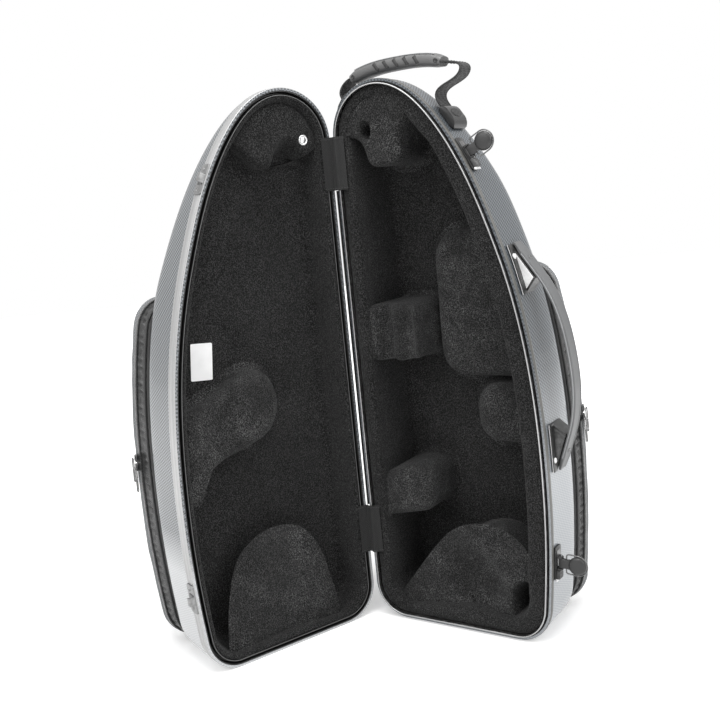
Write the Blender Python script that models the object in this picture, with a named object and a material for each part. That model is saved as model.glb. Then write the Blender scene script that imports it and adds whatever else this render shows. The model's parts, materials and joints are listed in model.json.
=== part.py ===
"""Alto saxophone case, opened like a book and standing on its bottom end.

Both shells are drawn in the same way: u runs from the hinge axis to the free side, d runs
from the mouth into the shell, and z runs up from the foot. The hinge axis is vertical.
"""

import math

import bmesh
import bpy
from mathutils import Matrix, Vector
from mathutils.geometry import interpolate_bezier

MM = 0.001

# Whole case
CASE_LENGTH = 650 * MM
CASE_WIDTH = 243 * MM
OPEN_ANGLE = math.radians(112)
HINGE_GAP = 2.6 * MM
BELLY_HEIGHT = 174 * MM
FLANK_WIDTH = 204 * MM
FLANK_DROP = 189 * MM
SHOULDER_WIDTH = 133 * MM
SHOULDER_DROP = 42 * MM
NECK_CENTRE = 63 * MM
NECK_DROP = 60 * MM
FOOT_RADIUS = 42 * MM
SIDE_TAPER = 7 * MM

# Shells
WALL = 2.6 * MM
MOUTH_GAP = 0.1 * MM
BACK_RADIUS = 30 * MM
BASE_DEPTH = 95 * MM
BASE_NECK_DEPTH = 52 * MM
BASE_CREASE = 520 * MM
LID_DEPTH = 97 * MM
LID_NECK_DEPTH = 44 * MM
LID_CREASE = 434 * MM

# Rims
FIT = 0.3 * MM
SEAL_THICKNESS = 1.1 * MM
SEAL_SETBACK = 1.5 * MM
TONGUE_THICKNESS = 1.6 * MM
TONGUE_REACH = 4.5 * MM
RIM_DEPTH = 13 * MM
RIM_SETBACK = 0.5 * MM
CHANNEL_DEPTH = 9.5 * MM
LIP_THICKNESS = 1.1 * MM
GASKET_THICKNESS = 2.2 * MM

# Foam liners
FOAM_GAP = 0.5 * MM
FOAM_SETBACK = 1 * MM
CAVITY_DRAFT = 4 * MM
BASE_CAVITY_DEPTH = 79 * MM
BASE_NECK_CAVITY_DEPTH = 38 * MM
BASE_BORDER = {"hinge": 22 * MM, "free": 30 * MM, "top": 20 * MM, "foot": 26 * MM}
LID_CAVITY_DEPTH = 46 * MM
LID_NECK_CAVITY_DEPTH = 24 * MM
LID_BORDER = {"hinge": 14 * MM, "free": 15 * MM, "top": 13 * MM, "foot": 16 * MM}
PAD_EDGE = 5 * MM
PAD_FIT = 1 * MM

# Hinges
HINGE_HEIGHTS = {"upper": 562 * MM, "lower": 114 * MM}
HINGE_LENGTH = 50 * MM
KNUCKLE_RADIUS = 2.1 * MM
HINGE_PIN_RADIUS = 1 * MM
LEAF_THICKNESS = 1.2 * MM
LEAF_DEPTH = 16 * MM
TAPE_LENGTH = 61 * MM
TAPE_THICKNESS = 0.8 * MM
TAPE_STANDOFF = 1 * MM

# Latches and keepers
LATCH_HEIGHTS = {"upper": 557 * MM, "lower": 97 * MM}
LATCH_LENGTH = 40 * MM
LATCH_WIDTH = 16 * MM
LATCH_DEPTH = 14 * MM
PLATE_THICKNESS = 2 * MM
EAR_HEIGHT = 8.6 * MM
EAR_THICKNESS = 2 * MM
EAR_WIDTH = 8 * MM
LEVER_PIN_HEIGHT = 6.2 * MM
LEVER_PIN_RADIUS = 0.9 * MM
LEVER_ARM_WIDTH = 11.6 * MM
LEVER_THICKNESS = 5 * MM
LEVER_HEEL = 2.5 * MM
LEVER_LENGTH = 25 * MM
LEVER_PAD_RADIUS = 9.6 * MM
BAIL_PIVOT = 12.2 * MM
BAIL_CLEARANCE = 1 * MM
WIRE_RADIUS = 0.9 * MM
KEEPER_LENGTH = 35 * MM
KEEPER_WIDTH = 16 * MM
KEEPER_SETBACK = 0.9 * MM
HOOK_LENGTH = 10 * MM
HOOK_THICKNESS = 1.3 * MM
HOOK_REACH = 5.4 * MM

# Side handle
BRACKET_TOP = 456 * MM
BRACKET_FOOT = 203 * MM
BRACKET_LENGTH = 54 * MM
BRACKET_HEIGHT = 16 * MM
BRACKET_DEPTH = 21 * MM
STRAP_WIDTH = 21 * MM
STRAP_THICKNESS = 4.5 * MM
STRAP_SETBACK = 3.6 * MM
STRAP_RISE = 29 * MM
FLANGE_WIDTH = 9 * MM
FLANGE_THICKNESS = 2.4 * MM
SCREW_RADIUS = 3 * MM

# Top handle
TOP_HANDLE_DEPTH = 30 * MM
NECK_ANCHOR_U = 16 * MM
SIDE_ANCHOR_HEIGHT = 596 * MM
ANCHOR_LENGTH = 30 * MM
ANCHOR_WIDTH = 30 * MM
ANCHOR_HEIGHT = 9 * MM
GRIP_CLEARANCE = 15 * MM
GRIP_WIDTH = 24 * MM
GRIP_THICKNESS = 15 * MM
WEBBING_WIDTH = 25 * MM
WEBBING_THICKNESS = 2.2 * MM
LOOP_OUTREACH = 24 * MM

# Pockets
POCKET_TOP = 424 * MM
POCKET_FOOT = 7 * MM
LID_POCKET_THICKNESS = 38 * MM
BASE_POCKET_THICKNESS = 30 * MM
POCKET_CORNER = 40 * MM
ZIP_WIDTH = 7 * MM
ZIP_THICKNESS = 1.8 * MM
ZIP_PLACE = 0.58
POCKET_INSET = 4 * MM
POCKET_GAP = 0.5 * MM
POCKET_BULGE = 1.5 * MM
ZIP_START = 26 * MM
SLIDER_HEIGHTS = {"lid": 236 * MM, "base": 246 * MM}
SLIDER_LENGTH = 9 * MM
SLIDER_WIDTH = 8 * MM
SLIDER_HEIGHT = 4.6 * MM
PULL_LENGTH = 30 * MM
PULL_WIDTH = 6 * MM
PULL_THICKNESS = 1.4 * MM
PULL_HEAD = 0.6 * MM
SLIDER_GAP = 1 * MM

# Small things in the lid
LABEL_SIZE = (27 * MM, 43 * MM, 0.4 * MM)
LABEL_PLACE = (178 * MM, 354 * MM)
STUD_RADIUS = 6 * MM
STUD_THICKNESS = 1.6 * MM
STUD_U = 34 * MM
STUD_DROP = 58 * MM
LID_NECK_PAD_TOP = 8 * MM

MATERIALS = {
    "shell": ((0.34, 0.36, 0.38), 0.28, 0.25),
    "black_plastic": ((0.02, 0.02, 0.022), 0.4, 0.0),
    "grey_plastic": ((0.2, 0.2, 0.21), 0.45, 0.0),
    "tongue_metal": ((0.82, 0.83, 0.84), 0.25, 1.0),
    "rubber": ((0.012, 0.012, 0.012), 0.7, 0.0),
    "plush": ((0.016, 0.016, 0.016), 0.95, 0.0),
    "steel": ((0.5, 0.5, 0.52), 0.3, 1.0),
    "dark_metal": ((0.1, 0.1, 0.11), 0.35, 0.8),
    "webbing": ((0.03, 0.03, 0.032), 0.85, 0.0),
    "nylon": ((0.06, 0.065, 0.07), 0.8, 0.0),
    "label": ((0.85, 0.85, 0.85), 0.6, 0.0),
}


def clear_scene():
    for item in list(bpy.data.objects):
        bpy.data.objects.remove(item, do_unlink=True)


def material(name):
    found = bpy.data.materials.get(name)
    if found:
        return found
    colour, roughness, metallic = MATERIALS[name]
    made = bpy.data.materials.new(name)
    made.use_nodes = True
    shader = made.node_tree.nodes["Principled BSDF"]
    shader.inputs["Base Color"].default_value = (*colour, 1)
    shader.inputs["Roughness"].default_value = roughness
    shader.inputs["Metallic"].default_value = metallic
    return made


def empty(name, parent, location=(0, 0, 0), rotation=None):
    made = bpy.data.objects.new(name, None)
    bpy.context.scene.collection.objects.link(made)
    made.parent = parent
    made.location = location
    if rotation is not None:
        made.rotation_euler = rotation.to_euler()
    return made


def solid(name, bm, slot, parent, helper=False):
    """Closes off one body: outward normals, its own material and its parent."""
    bmesh.ops.recalc_face_normals(bm, faces=bm.faces)
    if bm.calc_volume(signed=True) < 0:
        bmesh.ops.reverse_faces(bm, faces=bm.faces)
    mesh = bpy.data.meshes.new(name)
    bm.to_mesh(mesh)
    bm.free()
    mesh.shade_smooth()
    mesh.set_sharp_from_angle(angle=math.radians(35))
    made = bpy.data.objects.new(name, mesh)
    bpy.context.scene.collection.objects.link(made)
    made.parent = parent
    if helper:
        made.hide_render = True
        made.display_type = "WIRE"
    else:
        mesh.materials.append(material(slot).copy())
        mesh.materials[0].name = f"{name}_{slot}"
    return made


def loft(rings, cap_splits=None, closed_profile=False):
    """Bridges equal rings of points; the ends get flat caps, folded where cap_splits says."""
    bm = bmesh.new()
    rows = [[bm.verts.new(point) for point in ring] for ring in rings]
    pairs = list(zip(rows[:-1], rows[1:]))
    if closed_profile:
        pairs.append((rows[-1], rows[0]))
    count = len(rows[0])
    for low, high in pairs:
        for k in range(count):
            n = (k + 1) % count
            bm.faces.new((low[k], low[n], high[n], high[k]))
    if not closed_profile:
        for row in (rows[0], rows[-1]):
            if cap_splits:
                first, second = sorted(cap_splits)
                bm.faces.new(row[first : second + 1])
                bm.faces.new(row[second:] + row[: first + 1])
            else:
                bm.faces.new(row)
    return bm


def boolean(piece, operation, helper):
    helper.hide_render = True
    helper.display_type = "WIRE"
    cut = piece.modifiers.new(helper.name, "BOOLEAN")
    cut.operation = operation
    cut.object = helper


def run_of_curve(start, end, steps):
    """A smooth run between two (point, direction) anchors, without its last point."""
    (p, p_way), (q, q_way) = start, end
    p_way, q_way = Vector(p_way).normalized(), Vector(q_way).normalized()
    chord = (Vector(q) - Vector(p)).length
    reach = chord / (3 * math.cos(p_way.angle(q_way) / 4) ** 2)
    knots = (Vector(p), Vector(p) + p_way * reach, Vector(q) - q_way * reach, Vector(q))
    padded = [Vector((*knot, 0)) for knot in knots]
    return [Vector(point[:2]) for point in interpolate_bezier(*padded, steps + 1)][:-1]


def smooth_path(points, ways, steps):
    """An open curve through the points, which leaves each along its own direction."""
    anchors = list(zip(points, ways))
    path = []
    for start, end in zip(anchors[:-1], anchors[1:]):
        path += run_of_curve(start, end, steps)
    return path + [Vector(points[-1])]


def case_outline():
    """The outer edge of the mouth, anticlockwise as the open mouth is looked into."""
    top = CASE_LENGTH
    anchors = [
        ((HINGE_GAP + FOOT_RADIUS, 0), (1, 0), 2),
        ((CASE_WIDTH - SIDE_TAPER - FOOT_RADIUS, 0), (1, 0), 7),
        ((CASE_WIDTH - SIDE_TAPER, FOOT_RADIUS), (0.1, 1), 4),
        ((CASE_WIDTH, BELLY_HEIGHT), (0, 1), 7),
        ((FLANK_WIDTH, top - FLANK_DROP), (-0.32, 0.947), 5),
        ((SHOULDER_WIDTH, top - SHOULDER_DROP), (-0.62, 0.78), 5),
        ((NECK_CENTRE, top), (-1, 0), 7),
        ((HINGE_GAP, top - NECK_DROP), (0, -1), 3),
        ((HINGE_GAP, FOOT_RADIUS), (0, -1), 7),
    ]
    loop = []
    for k, (point, way, steps) in enumerate(anchors):
        following = anchors[(k + 1) % len(anchors)]
        loop += run_of_curve((point, way), following[:2], steps)
    return loop


def crossing(a, b, height):
    return a.lerp(b, (height - a.y) / (b.y - a.y))


def with_levels(loop, heights):
    """The loop with a point on each side at each height, and no other point close to those."""
    clear = 0.5 * BACK_RADIUS
    loop = [point for point in loop if all(abs(point.y - height) > clear for height in heights)]
    for height in heights:
        made = []
        for k, point in enumerate(loop):
            following = loop[(k + 1) % len(loop)]
            made.append(point)
            if (point.y - height) * (following.y - height) < 0:
                made.append(crossing(point, following, height))
        loop = made
    return loop


def inset(loop, distance, marks=(), height=0.0):
    """Moves a loop inwards along its normals; marked points stay at their height."""
    count = len(loop)
    made = []
    for k, point in enumerate(loop):
        before, after = loop[k - 1], loop[(k + 1) % count]
        normals = [Vector((-way.y, way.x)).normalized() for way in (point - before, after - point)]
        middle = (normals[0] + normals[1]).normalized()
        made.append(point + middle * (distance / middle.dot(normals[0])))
    for k in marks:
        made[k] = crossing(made[k - 1], made[(k + 1) % count], height)
    return made


def fillet(corners, radius, steps=4):
    """A polygon with its corners rounded."""
    made = []
    for k, corner in enumerate(corners):
        corner = Vector(corner)
        before, after = Vector(corners[k - 1]), Vector(corners[(k + 1) % len(corners)])
        cut = min(radius, 0.45 * (before - corner).length, 0.45 * (after - corner).length)
        start = corner + (before - corner).normalized() * cut
        end = corner + (after - corner).normalized() * cut
        for step in range(steps + 1):
            t = step / steps
            made.append(start.lerp(corner, t).lerp(corner.lerp(end, t), t))
    return made


class Shell:
    """One half of the case: its outline, how deep it is, and where its frame stands."""

    def __init__(self, name, side, root, depth, neck_depth, crease):
        self.name = name
        self.side = side
        self.depth = depth
        self.neck_depth = neck_depth
        self.crease = crease
        self.outline = with_levels(case_outline(), (BASE_CREASE, LID_CREASE))
        self.marks = [k for k, p in enumerate(self.outline) if abs(p.y - crease) < 1e-6]
        lean = (math.pi - OPEN_ANGLE) / 2
        self.frame = empty(f"{name}_frame", root, rotation=Matrix.Rotation(-side * lean, 3, "Z"))

    def level(self, z, low, neck):
        """A depth that is even up to the crease and then runs evenly to its value at the neck."""
        above = max(0, z - self.crease) / (CASE_LENGTH - self.crease)
        return low + (neck - low) * above

    def back(self, z):
        return self.level(z, self.depth, self.neck_depth)

    def loop(self, distance):
        return inset(self.outline, distance, self.marks, self.crease)

    def point(self, u, d, z):
        return Vector((self.side * u, d, z))

    def ring(self, loop, depth):
        """A loop as points at one depth, or at a depth worked out from each height."""
        deep = depth if callable(depth) else lambda z: depth
        return [self.point(p.x, deep(p.y), p.y) for p in loop]

    def skin(self, distance, start):
        """Rings down the wall and round to the back, this far in from the outer surface."""
        rings = [self.ring(self.loop(distance), start)]
        inner = BACK_RADIUS - distance
        for angle in (math.radians(a) for a in (0, 20, 40, 60, 78, 90)):
            away = BACK_RADIUS - inner * math.cos(angle)
            shallow = BACK_RADIUS - inner * math.sin(angle)
            rings.append(self.ring(self.loop(away), lambda z, s=shallow: self.back(z) - s))
        return rings

    def skin_at(self, distance, depth):
        """The ring where the skin this far in comes to a depth, worked out from each height."""
        inner = BACK_RADIUS - distance
        made = []
        for near, further in zip(self.loop(distance), self.loop(distance + 1 * MM)):
            rise = depth(near.y) - self.back(near.y) + BACK_RADIUS
            angle = math.asin(min(max(rise / inner, 0), 1))
            made.append(near + (further - near) * (inner * (1 - math.cos(angle)) / MM))
        return self.ring(made, depth)

    def wall_at(self, height):
        """The point of the free side at a height, with its outward and upward directions."""
        count = len(self.outline)
        for k, a in enumerate(self.outline):
            b = self.outline[(k + 1) % count]
            if a.y <= height < b.y:
                up = (b - a).normalized()
                return crossing(a, b, height), Vector((up.y, -up.x)), up

    def wall_frame(self, name, height):
        """An empty on the wall: X points out, Y into the depth, Z along the wall."""
        place, out, _ = self.wall_at(height)
        x = self.point(out.x, 0, out.y)
        y = Vector((0, 1, 0))
        turn = Matrix((x, y, x.cross(y))).transposed()
        return empty(name, self.frame, self.point(place.x, 0, place.y), turn)


def make_tray(shell):
    rings = shell.skin(0, MOUTH_GAP)[::-1] + shell.skin(WALL, MOUTH_GAP)
    solid(f"{shell.name}_shell", loft(rings, shell.marks), "shell", shell.frame)


def make_band(shell, name, slot, near, far, start, end):
    """A plain band round the mouth between two insets and two depths."""
    rings = [
        shell.ring(shell.loop(near), start),
        shell.ring(shell.loop(far), start),
        shell.ring(shell.loop(far), end),
        shell.ring(shell.loop(near), end),
    ]
    return solid(name, loft(rings, closed_profile=True), slot, shell.frame)


def make_base_rim(base):
    seal_inner = WALL + FIT + SEAL_THICKNESS
    tongue_inner = tongue_inset()
    tongue_outer = tongue_inner - TONGUE_THICKNESS
    make_band(base, "base_seal", "rubber", WALL + FIT, seal_inner, SEAL_SETBACK, RIM_DEPTH)
    make_band(
        base, "base_tongue", "tongue_metal", tongue_outer, tongue_inner, -TONGUE_REACH, RIM_DEPTH
    )
    return tongue_inner


def tongue_inset():
    """How far inside the outline the tongue's inner face is."""
    return WALL + SEAL_THICKNESS + 2 * FIT + TONGUE_THICKNESS


def channel_end():
    """Where the lid's channel ends, so that the tongue swings in clear of the lip."""
    swing = math.hypot(HINGE_GAP + tongue_inset(), TONGUE_REACH)
    return swing - HINGE_GAP + FIT


def make_lid_rim(lid):
    outer = WALL + FIT
    groove = outer + SEAL_THICKNESS
    groove_end = channel_end()
    inner = groove_end + LIP_THICKNESS
    profile = [
        (outer, RIM_SETBACK),
        (groove, RIM_SETBACK),
        (groove, CHANNEL_DEPTH),
        (groove_end, CHANNEL_DEPTH),
        (groove_end, RIM_SETBACK),
        (inner, RIM_SETBACK),
        (inner, RIM_DEPTH),
        (outer, RIM_DEPTH),
    ]
    rings = [lid.ring(lid.loop(away), depth) for away, depth in profile]
    solid("lid_rim", loft(rings, closed_profile=True), "black_plastic", lid.frame)
    make_band(
        lid,
        "lid_gasket",
        "rubber",
        groove + FIT,
        groove_end - FIT,
        CHANNEL_DEPTH - FIT - GASKET_THICKNESS,
        CHANNEL_DEPTH - FIT,
    )
    return inner


class Foam:
    """The plush-covered tray inside a shell, and the space that its blocks are cut to."""

    def __init__(self, shell, border, cavity_depth, neck_cavity_depth, rim_inner):
        self.shell = shell
        self.border = border
        self.floor = lambda z: shell.level(z, cavity_depth, neck_cavity_depth)
        self.rim_inner = rim_inner + FIT
        self.low_centre = Vector((CASE_WIDTH / 2, 0.375 * CASE_WIDTH))
        self.high_centre = Vector((NECK_CENTRE, CASE_LENGTH - 1.25 * NECK_DROP))
        self.space = self.make_space()

    def centre_for(self, point):
        """The point of the case's middle line that this point of the wall is drawn towards."""
        low, high = self.low_centre, self.high_centre
        height = min(max(point.y, low.y), high.y)
        return crossing(low, high, height)

    def cavity_loop(self, extra=0.0):
        made = []
        for point in self.shell.outline:
            way = (self.centre_for(point) - point).normalized()
            across = self.border["hinge"] if way.x > 0 else self.border["free"]
            along = self.border["foot"] if way.y > 0 else self.border["top"]
            made.append(point + way * (across * way.x**2 + along * way.y**2 + extra))
        return made

    def make_tray(self):
        shell = self.shell
        outer = shell.skin(WALL + FOAM_GAP, RIM_DEPTH + FIT)[::-1]
        edge = shell.loop(self.rim_inner)
        rings = outer + [
            shell.ring(edge, RIM_DEPTH + FIT),
            shell.ring(edge, FOAM_SETBACK),
            shell.ring(self.cavity_loop(), FOAM_SETBACK),
            shell.ring(self.cavity_loop(CAVITY_DRAFT), self.floor),
        ]
        solid(f"{shell.name}_liner", loft(rings, shell.marks), "plush", shell.frame)

    def make_split_tray(self):
        """The same tray as two bodies: the back, and the border that stands on it."""
        shell, floor, distance = self.shell, self.floor, WALL + FOAM_GAP
        edge = shell.loop(self.rim_inner)
        rings = [
            shell.ring(edge, RIM_DEPTH + FIT),
            shell.ring(edge, FOAM_SETBACK),
            shell.ring(self.cavity_loop(), FOAM_SETBACK),
            shell.ring(self.cavity_loop(CAVITY_DRAFT), lambda z: floor(z) - FIT),
            shell.skin_at(distance, lambda z: floor(z) - FIT),
            shell.ring(shell.loop(distance), RIM_DEPTH + FIT),
        ]
        border = loft(rings, closed_profile=True)
        solid(f"{shell.name}_border", border, "plush", shell.frame)
        rings = []
        for share in (0, 0.3, 0.55, 0.75, 0.9, 0.98, 1):
            rings.append(
                shell.skin_at(
                    distance,
                    lambda z, s=share: floor(z) + (shell.back(z) - distance - floor(z)) * s,
                )
            )
        solid(f"{shell.name}_liner", loft(rings, shell.marks), "plush", shell.frame)

    def make_space(self):
        shell = self.shell
        rings = [
            shell.ring(self.cavity_loop(PAD_FIT), FOAM_SETBACK),
            shell.ring(self.cavity_loop(CAVITY_DRAFT + PAD_FIT), lambda z: self.floor(z) - PAD_FIT),
        ]
        name = f"{shell.name}_space"
        return solid(name, loft(rings, shell.marks), None, shell.frame, helper=True)

    def make_block(self, name, corners, top, radius=8 * MM, edge=PAD_EDGE):
        """A foam block that stands on the cavity's floor and is cut to fit its walls."""
        shell = self.shell
        corners = [Vector(corner) for corner in corners]
        rings = [shell.ring(fillet(corners, radius), shell.depth + 10 * MM)]
        for angle in (math.radians(a) for a in (0, 30, 60, 90)):
            away = edge * (1 - math.cos(angle))
            loop = fillet(inset(corners, away), radius)
            rings.append(shell.ring(loop, top + edge * (1 - math.sin(angle))))
        block = solid(name, loft(rings), "plush", shell.frame)
        boolean(block, "INTERSECT", self.space)
        return block


def scoop(block, shell, name, place, size):
    """A rounded hollow pressed into a block."""
    bm = bmesh.new()
    bmesh.ops.create_uvsphere(bm, u_segments=12, v_segments=8, radius=1)
    bmesh.ops.scale(bm, vec=size, verts=bm.verts)
    bmesh.ops.translate(bm, vec=shell.point(*place), verts=bm.verts)
    boolean(block, "DIFFERENCE", solid(name, bm, None, shell.frame, helper=True))


def make_base_foam(base, rim_inner):
    foam = Foam(base, BASE_BORDER, BASE_CAVITY_DEPTH, BASE_NECK_CAVITY_DEPTH, rim_inner)
    foam.make_tray()
    top = CASE_LENGTH
    neck = foam.make_block(
        "neck_block",
        [
            (0, top - 60 * MM),
            (36 * MM, top - 62 * MM),
            (46 * MM, top - 98 * MM),
            (92 * MM, top - 94 * MM),
            (88 * MM, top - 70 * MM),
            (104 * MM, top - 38 * MM),
            (120 * MM, top),
            (0, top),
        ],
        2 * MM,
    )
    scoop(neck, base, "neck_hole", (45 * MM, 8 * MM, top - 55 * MM), (6 * MM, 16 * MM, 9 * MM))
    foam.make_block(
        "step_block",
        [
            (92 * MM, 300 * MM),
            (260 * MM, 300 * MM),
            (260 * MM, 476 * MM),
            (92 * MM, 472 * MM),
        ],
        48 * MM,
        radius=14 * MM,
    )
    upper = foam.make_block(
        "upper_pad",
        [(0, 324 * MM), (86 * MM, 326 * MM), (86 * MM, 393 * MM), (0, 393 * MM)],
        8 * MM,
    )
    for k, u in enumerate((44 * MM, 72 * MM)):
        scoop(
            upper,
            base,
            f"upper_pad_scoop_{k + 1}",
            (u, 4 * MM, 358 * MM),
            (10 * MM, 14 * MM, 44 * MM),
        )
    foam.make_block(
        "lower_pad",
        [(0, 124 * MM), (104 * MM, 148 * MM), (104 * MM, 206 * MM), (60 * MM, 206 * MM), (0, 178 * MM)],
        9 * MM,
    )
    foam.make_block(
        "side_pad",
        [(138 * MM, 222 * MM), (250 * MM, 222 * MM), (250 * MM, 293 * MM), (138 * MM, 293 * MM)],
        40 * MM,
        radius=18 * MM,
    )
    cradle = foam.make_block(
        "bell_cradle",
        [
            (30 * MM, 0),
            (84 * MM, 88 * MM),
            (118 * MM, 122 * MM),
            (160 * MM, 126 * MM),
            (190 * MM, 104 * MM),
            (200 * MM, 60 * MM),
            (197 * MM, 0),
        ],
        12 * MM,
        radius=18 * MM,
    )
    scoop(
        cradle, base, "cradle_hollow", (140 * MM, 4 * MM, 66 * MM), (44 * MM, 18 * MM, 42 * MM)
    )


def make_lid_foam(lid, rim_inner):
    foam = Foam(lid, LID_BORDER, LID_CAVITY_DEPTH, LID_NECK_CAVITY_DEPTH, rim_inner)
    foam.make_split_tray()
    top = CASE_LENGTH
    neck = foam.make_block(
        "lid_neck_pad",
        [
            (0, top - 62 * MM),
            (44 * MM, top - 82 * MM),
            (94 * MM, top - 88 * MM),
            (130 * MM, top - 50 * MM),
            (130 * MM, top),
            (0, top),
        ],
        LID_NECK_PAD_TOP,
    )
    scoop(
        neck, lid, "lid_neck_scoop", (62 * MM, 8 * MM, top - 86 * MM), (17 * MM, 20 * MM, 24 * MM)
    )
    foam.make_block(
        "lid_arm_pad",
        [
            (250 * MM, 318 * MM),
            (205 * MM, 300 * MM),
            (132 * MM, 338 * MM),
            (104 * MM, 330 * MM),
            (94 * MM, 288 * MM),
            (112 * MM, 256 * MM),
            (150 * MM, 246 * MM),
            (184 * MM, 238 * MM),
            (222 * MM, 204 * MM),
            (250 * MM, 190 * MM),
        ],
        14 * MM,
        radius=14 * MM,
    )
    foam.make_block(
        "lid_bell_pad",
        [
            (60 * MM, 0),
            (82 * MM, 96 * MM),
            (100 * MM, 128 * MM),
            (136 * MM, 134 * MM),
            (168 * MM, 116 * MM),
            (182 * MM, 70 * MM),
            (190 * MM, 0),
        ],
        12 * MM,
        radius=18 * MM,
    )


def box(low, high):
    bm = bmesh.new()
    bmesh.ops.create_cube(bm, size=1)
    low, high = Vector(low), Vector(high)
    for vertex in bm.verts:
        vertex.co = Vector(l + (h - l) * (c + 0.5) for l, h, c in zip(low, high, vertex.co))
    return bm


def cylinder(radius, start, end, sides=16):
    start, end = Vector(start), Vector(end)
    bm = bmesh.new()
    bmesh.ops.create_cone(
        bm,
        cap_ends=True,
        segments=sides,
        radius1=radius,
        radius2=radius,
        depth=(end - start).length,
    )
    turn = (end - start).to_track_quat("Z", "Y").to_matrix().to_4x4()
    bmesh.ops.transform(bm, matrix=Matrix.Translation((start + end) / 2) @ turn, verts=bm.verts)
    return bm


def prism(outline, start, end, axes):
    """An outline given on two axes, extruded along the third; axes names all three in order."""
    order = ["xyz".index(axis) for axis in axes]
    rings = []
    for along in (start, end):
        ring = []
        for a, b in outline:
            point = [0, 0, 0]
            point[order[0]], point[order[1]], point[order[2]] = a, b, along
            ring.append(Vector(point))
        rings.append(ring)
    return loft(rings)


def make_hinge(base, lid, label, height):
    half = HINGE_LENGTH / 2
    third = HINGE_LENGTH / 6
    leaf_outer = HINGE_GAP - FIT
    leaf_inner = leaf_outer - LEAF_THICKNESS
    ranges = {
        base: [(-half, -third - FIT), (third + FIT, half)],
        lid: [(-third, third)],
    }
    for shell, spans in ranges.items():
        pivot = empty(f"{label}_hinge_{shell.name}_place", shell.frame, (0, 0, height))
        low = Vector((leaf_inner, KNUCKLE_RADIUS + 0.6 * MM, -half))
        high = Vector((leaf_outer, LEAF_DEPTH, half))
        xs = sorted((shell.side * low.x, shell.side * high.x))
        plate = box((xs[0], low.y, low.z), (xs[1], high.y, high.z))
        leaf = solid(f"{label}_hinge_leaf_{shell.name}", plate, "dark_metal", pivot)
        drill = solid(
            f"{label}_hinge_drill_{shell.name}",
            cylinder(HINGE_PIN_RADIUS + FIT, (0, 0, -half - MM), (0, 0, half + MM), 12),
            None,
            pivot,
            helper=True,
        )
        for k, (start, end) in enumerate(spans):
            steps = [math.radians(a) for a in range(0, 300, 20)]
            curl = [
                (
                    shell.side * KNUCKLE_RADIUS * math.cos(a),
                    -KNUCKLE_RADIUS * math.sin(a),
                )
                for a in steps
            ]
            neck_end = KNUCKLE_RADIUS + 2 * MM
            curl += [
                (shell.side * leaf_inner, neck_end),
                (shell.side * leaf_outer, neck_end),
                (shell.side * leaf_outer, 0),
            ]
            knuckle = solid(
                f"{label}_knuckle_{shell.name}_{k + 1}",
                prism(curl, start, end, "xyz"),
                None,
                pivot,
                helper=True,
            )
            boolean(leaf, "UNION", knuckle)
        boolean(leaf, "DIFFERENCE", drill)
    pin_place = empty(f"{label}_hinge_pin_place", base.frame, (0, 0, height))
    pin = cylinder(HINGE_PIN_RADIUS, (0, 0, -half), (0, 0, half), 12)
    solid(f"{label}_hinge_pin", pin, "steel", pin_place)


def make_tape(base, lid, label, height, root):
    """The cloth cover of a hinge, from the lid's rim over the tongue to the base's liner."""
    half = TAPE_LENGTH / 2
    tongue_middle = HINGE_GAP + tongue_inset() - TONGUE_THICKNESS / 2
    over = TONGUE_REACH + TAPE_STANDOFF

    def world(shell, u, d):
        turn = shell.frame.rotation_euler.to_matrix()
        return turn @ shell.point(u, d, 0)

    route = [
        world(lid, HINGE_GAP + 12 * MM, -0.7 * MM),
        world(lid, HINGE_GAP + 4 * MM, -0.9 * MM),
        world(lid, HINGE_GAP, -2.4 * MM),
        world(base, tongue_middle - 2.4 * MM, -over),
        world(base, tongue_middle, -over - 0.6 * MM),
        world(base, tongue_middle + 2.4 * MM, -over + 0.4 * MM),
        world(base, tongue_middle + 9 * MM, -0.8 * MM),
    ]
    sides = [[], []]
    for k, point in enumerate(route):
        before, after = route[max(k - 1, 0)], route[min(k + 1, len(route) - 1)]
        way = (after - before).normalized()
        away = Vector((-way.y, way.x, 0)) * TAPE_THICKNESS / 2
        sides[0].append((point + away)[:2])
        sides[1].append((point - away)[:2])
    outline = sides[0] + sides[1][::-1]
    place = empty(f"{label}_tape_place", root, (0, 0, height))
    solid(f"{label}_hinge_tape", prism(outline, -half, half, "xyz"), "webbing", place)


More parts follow.
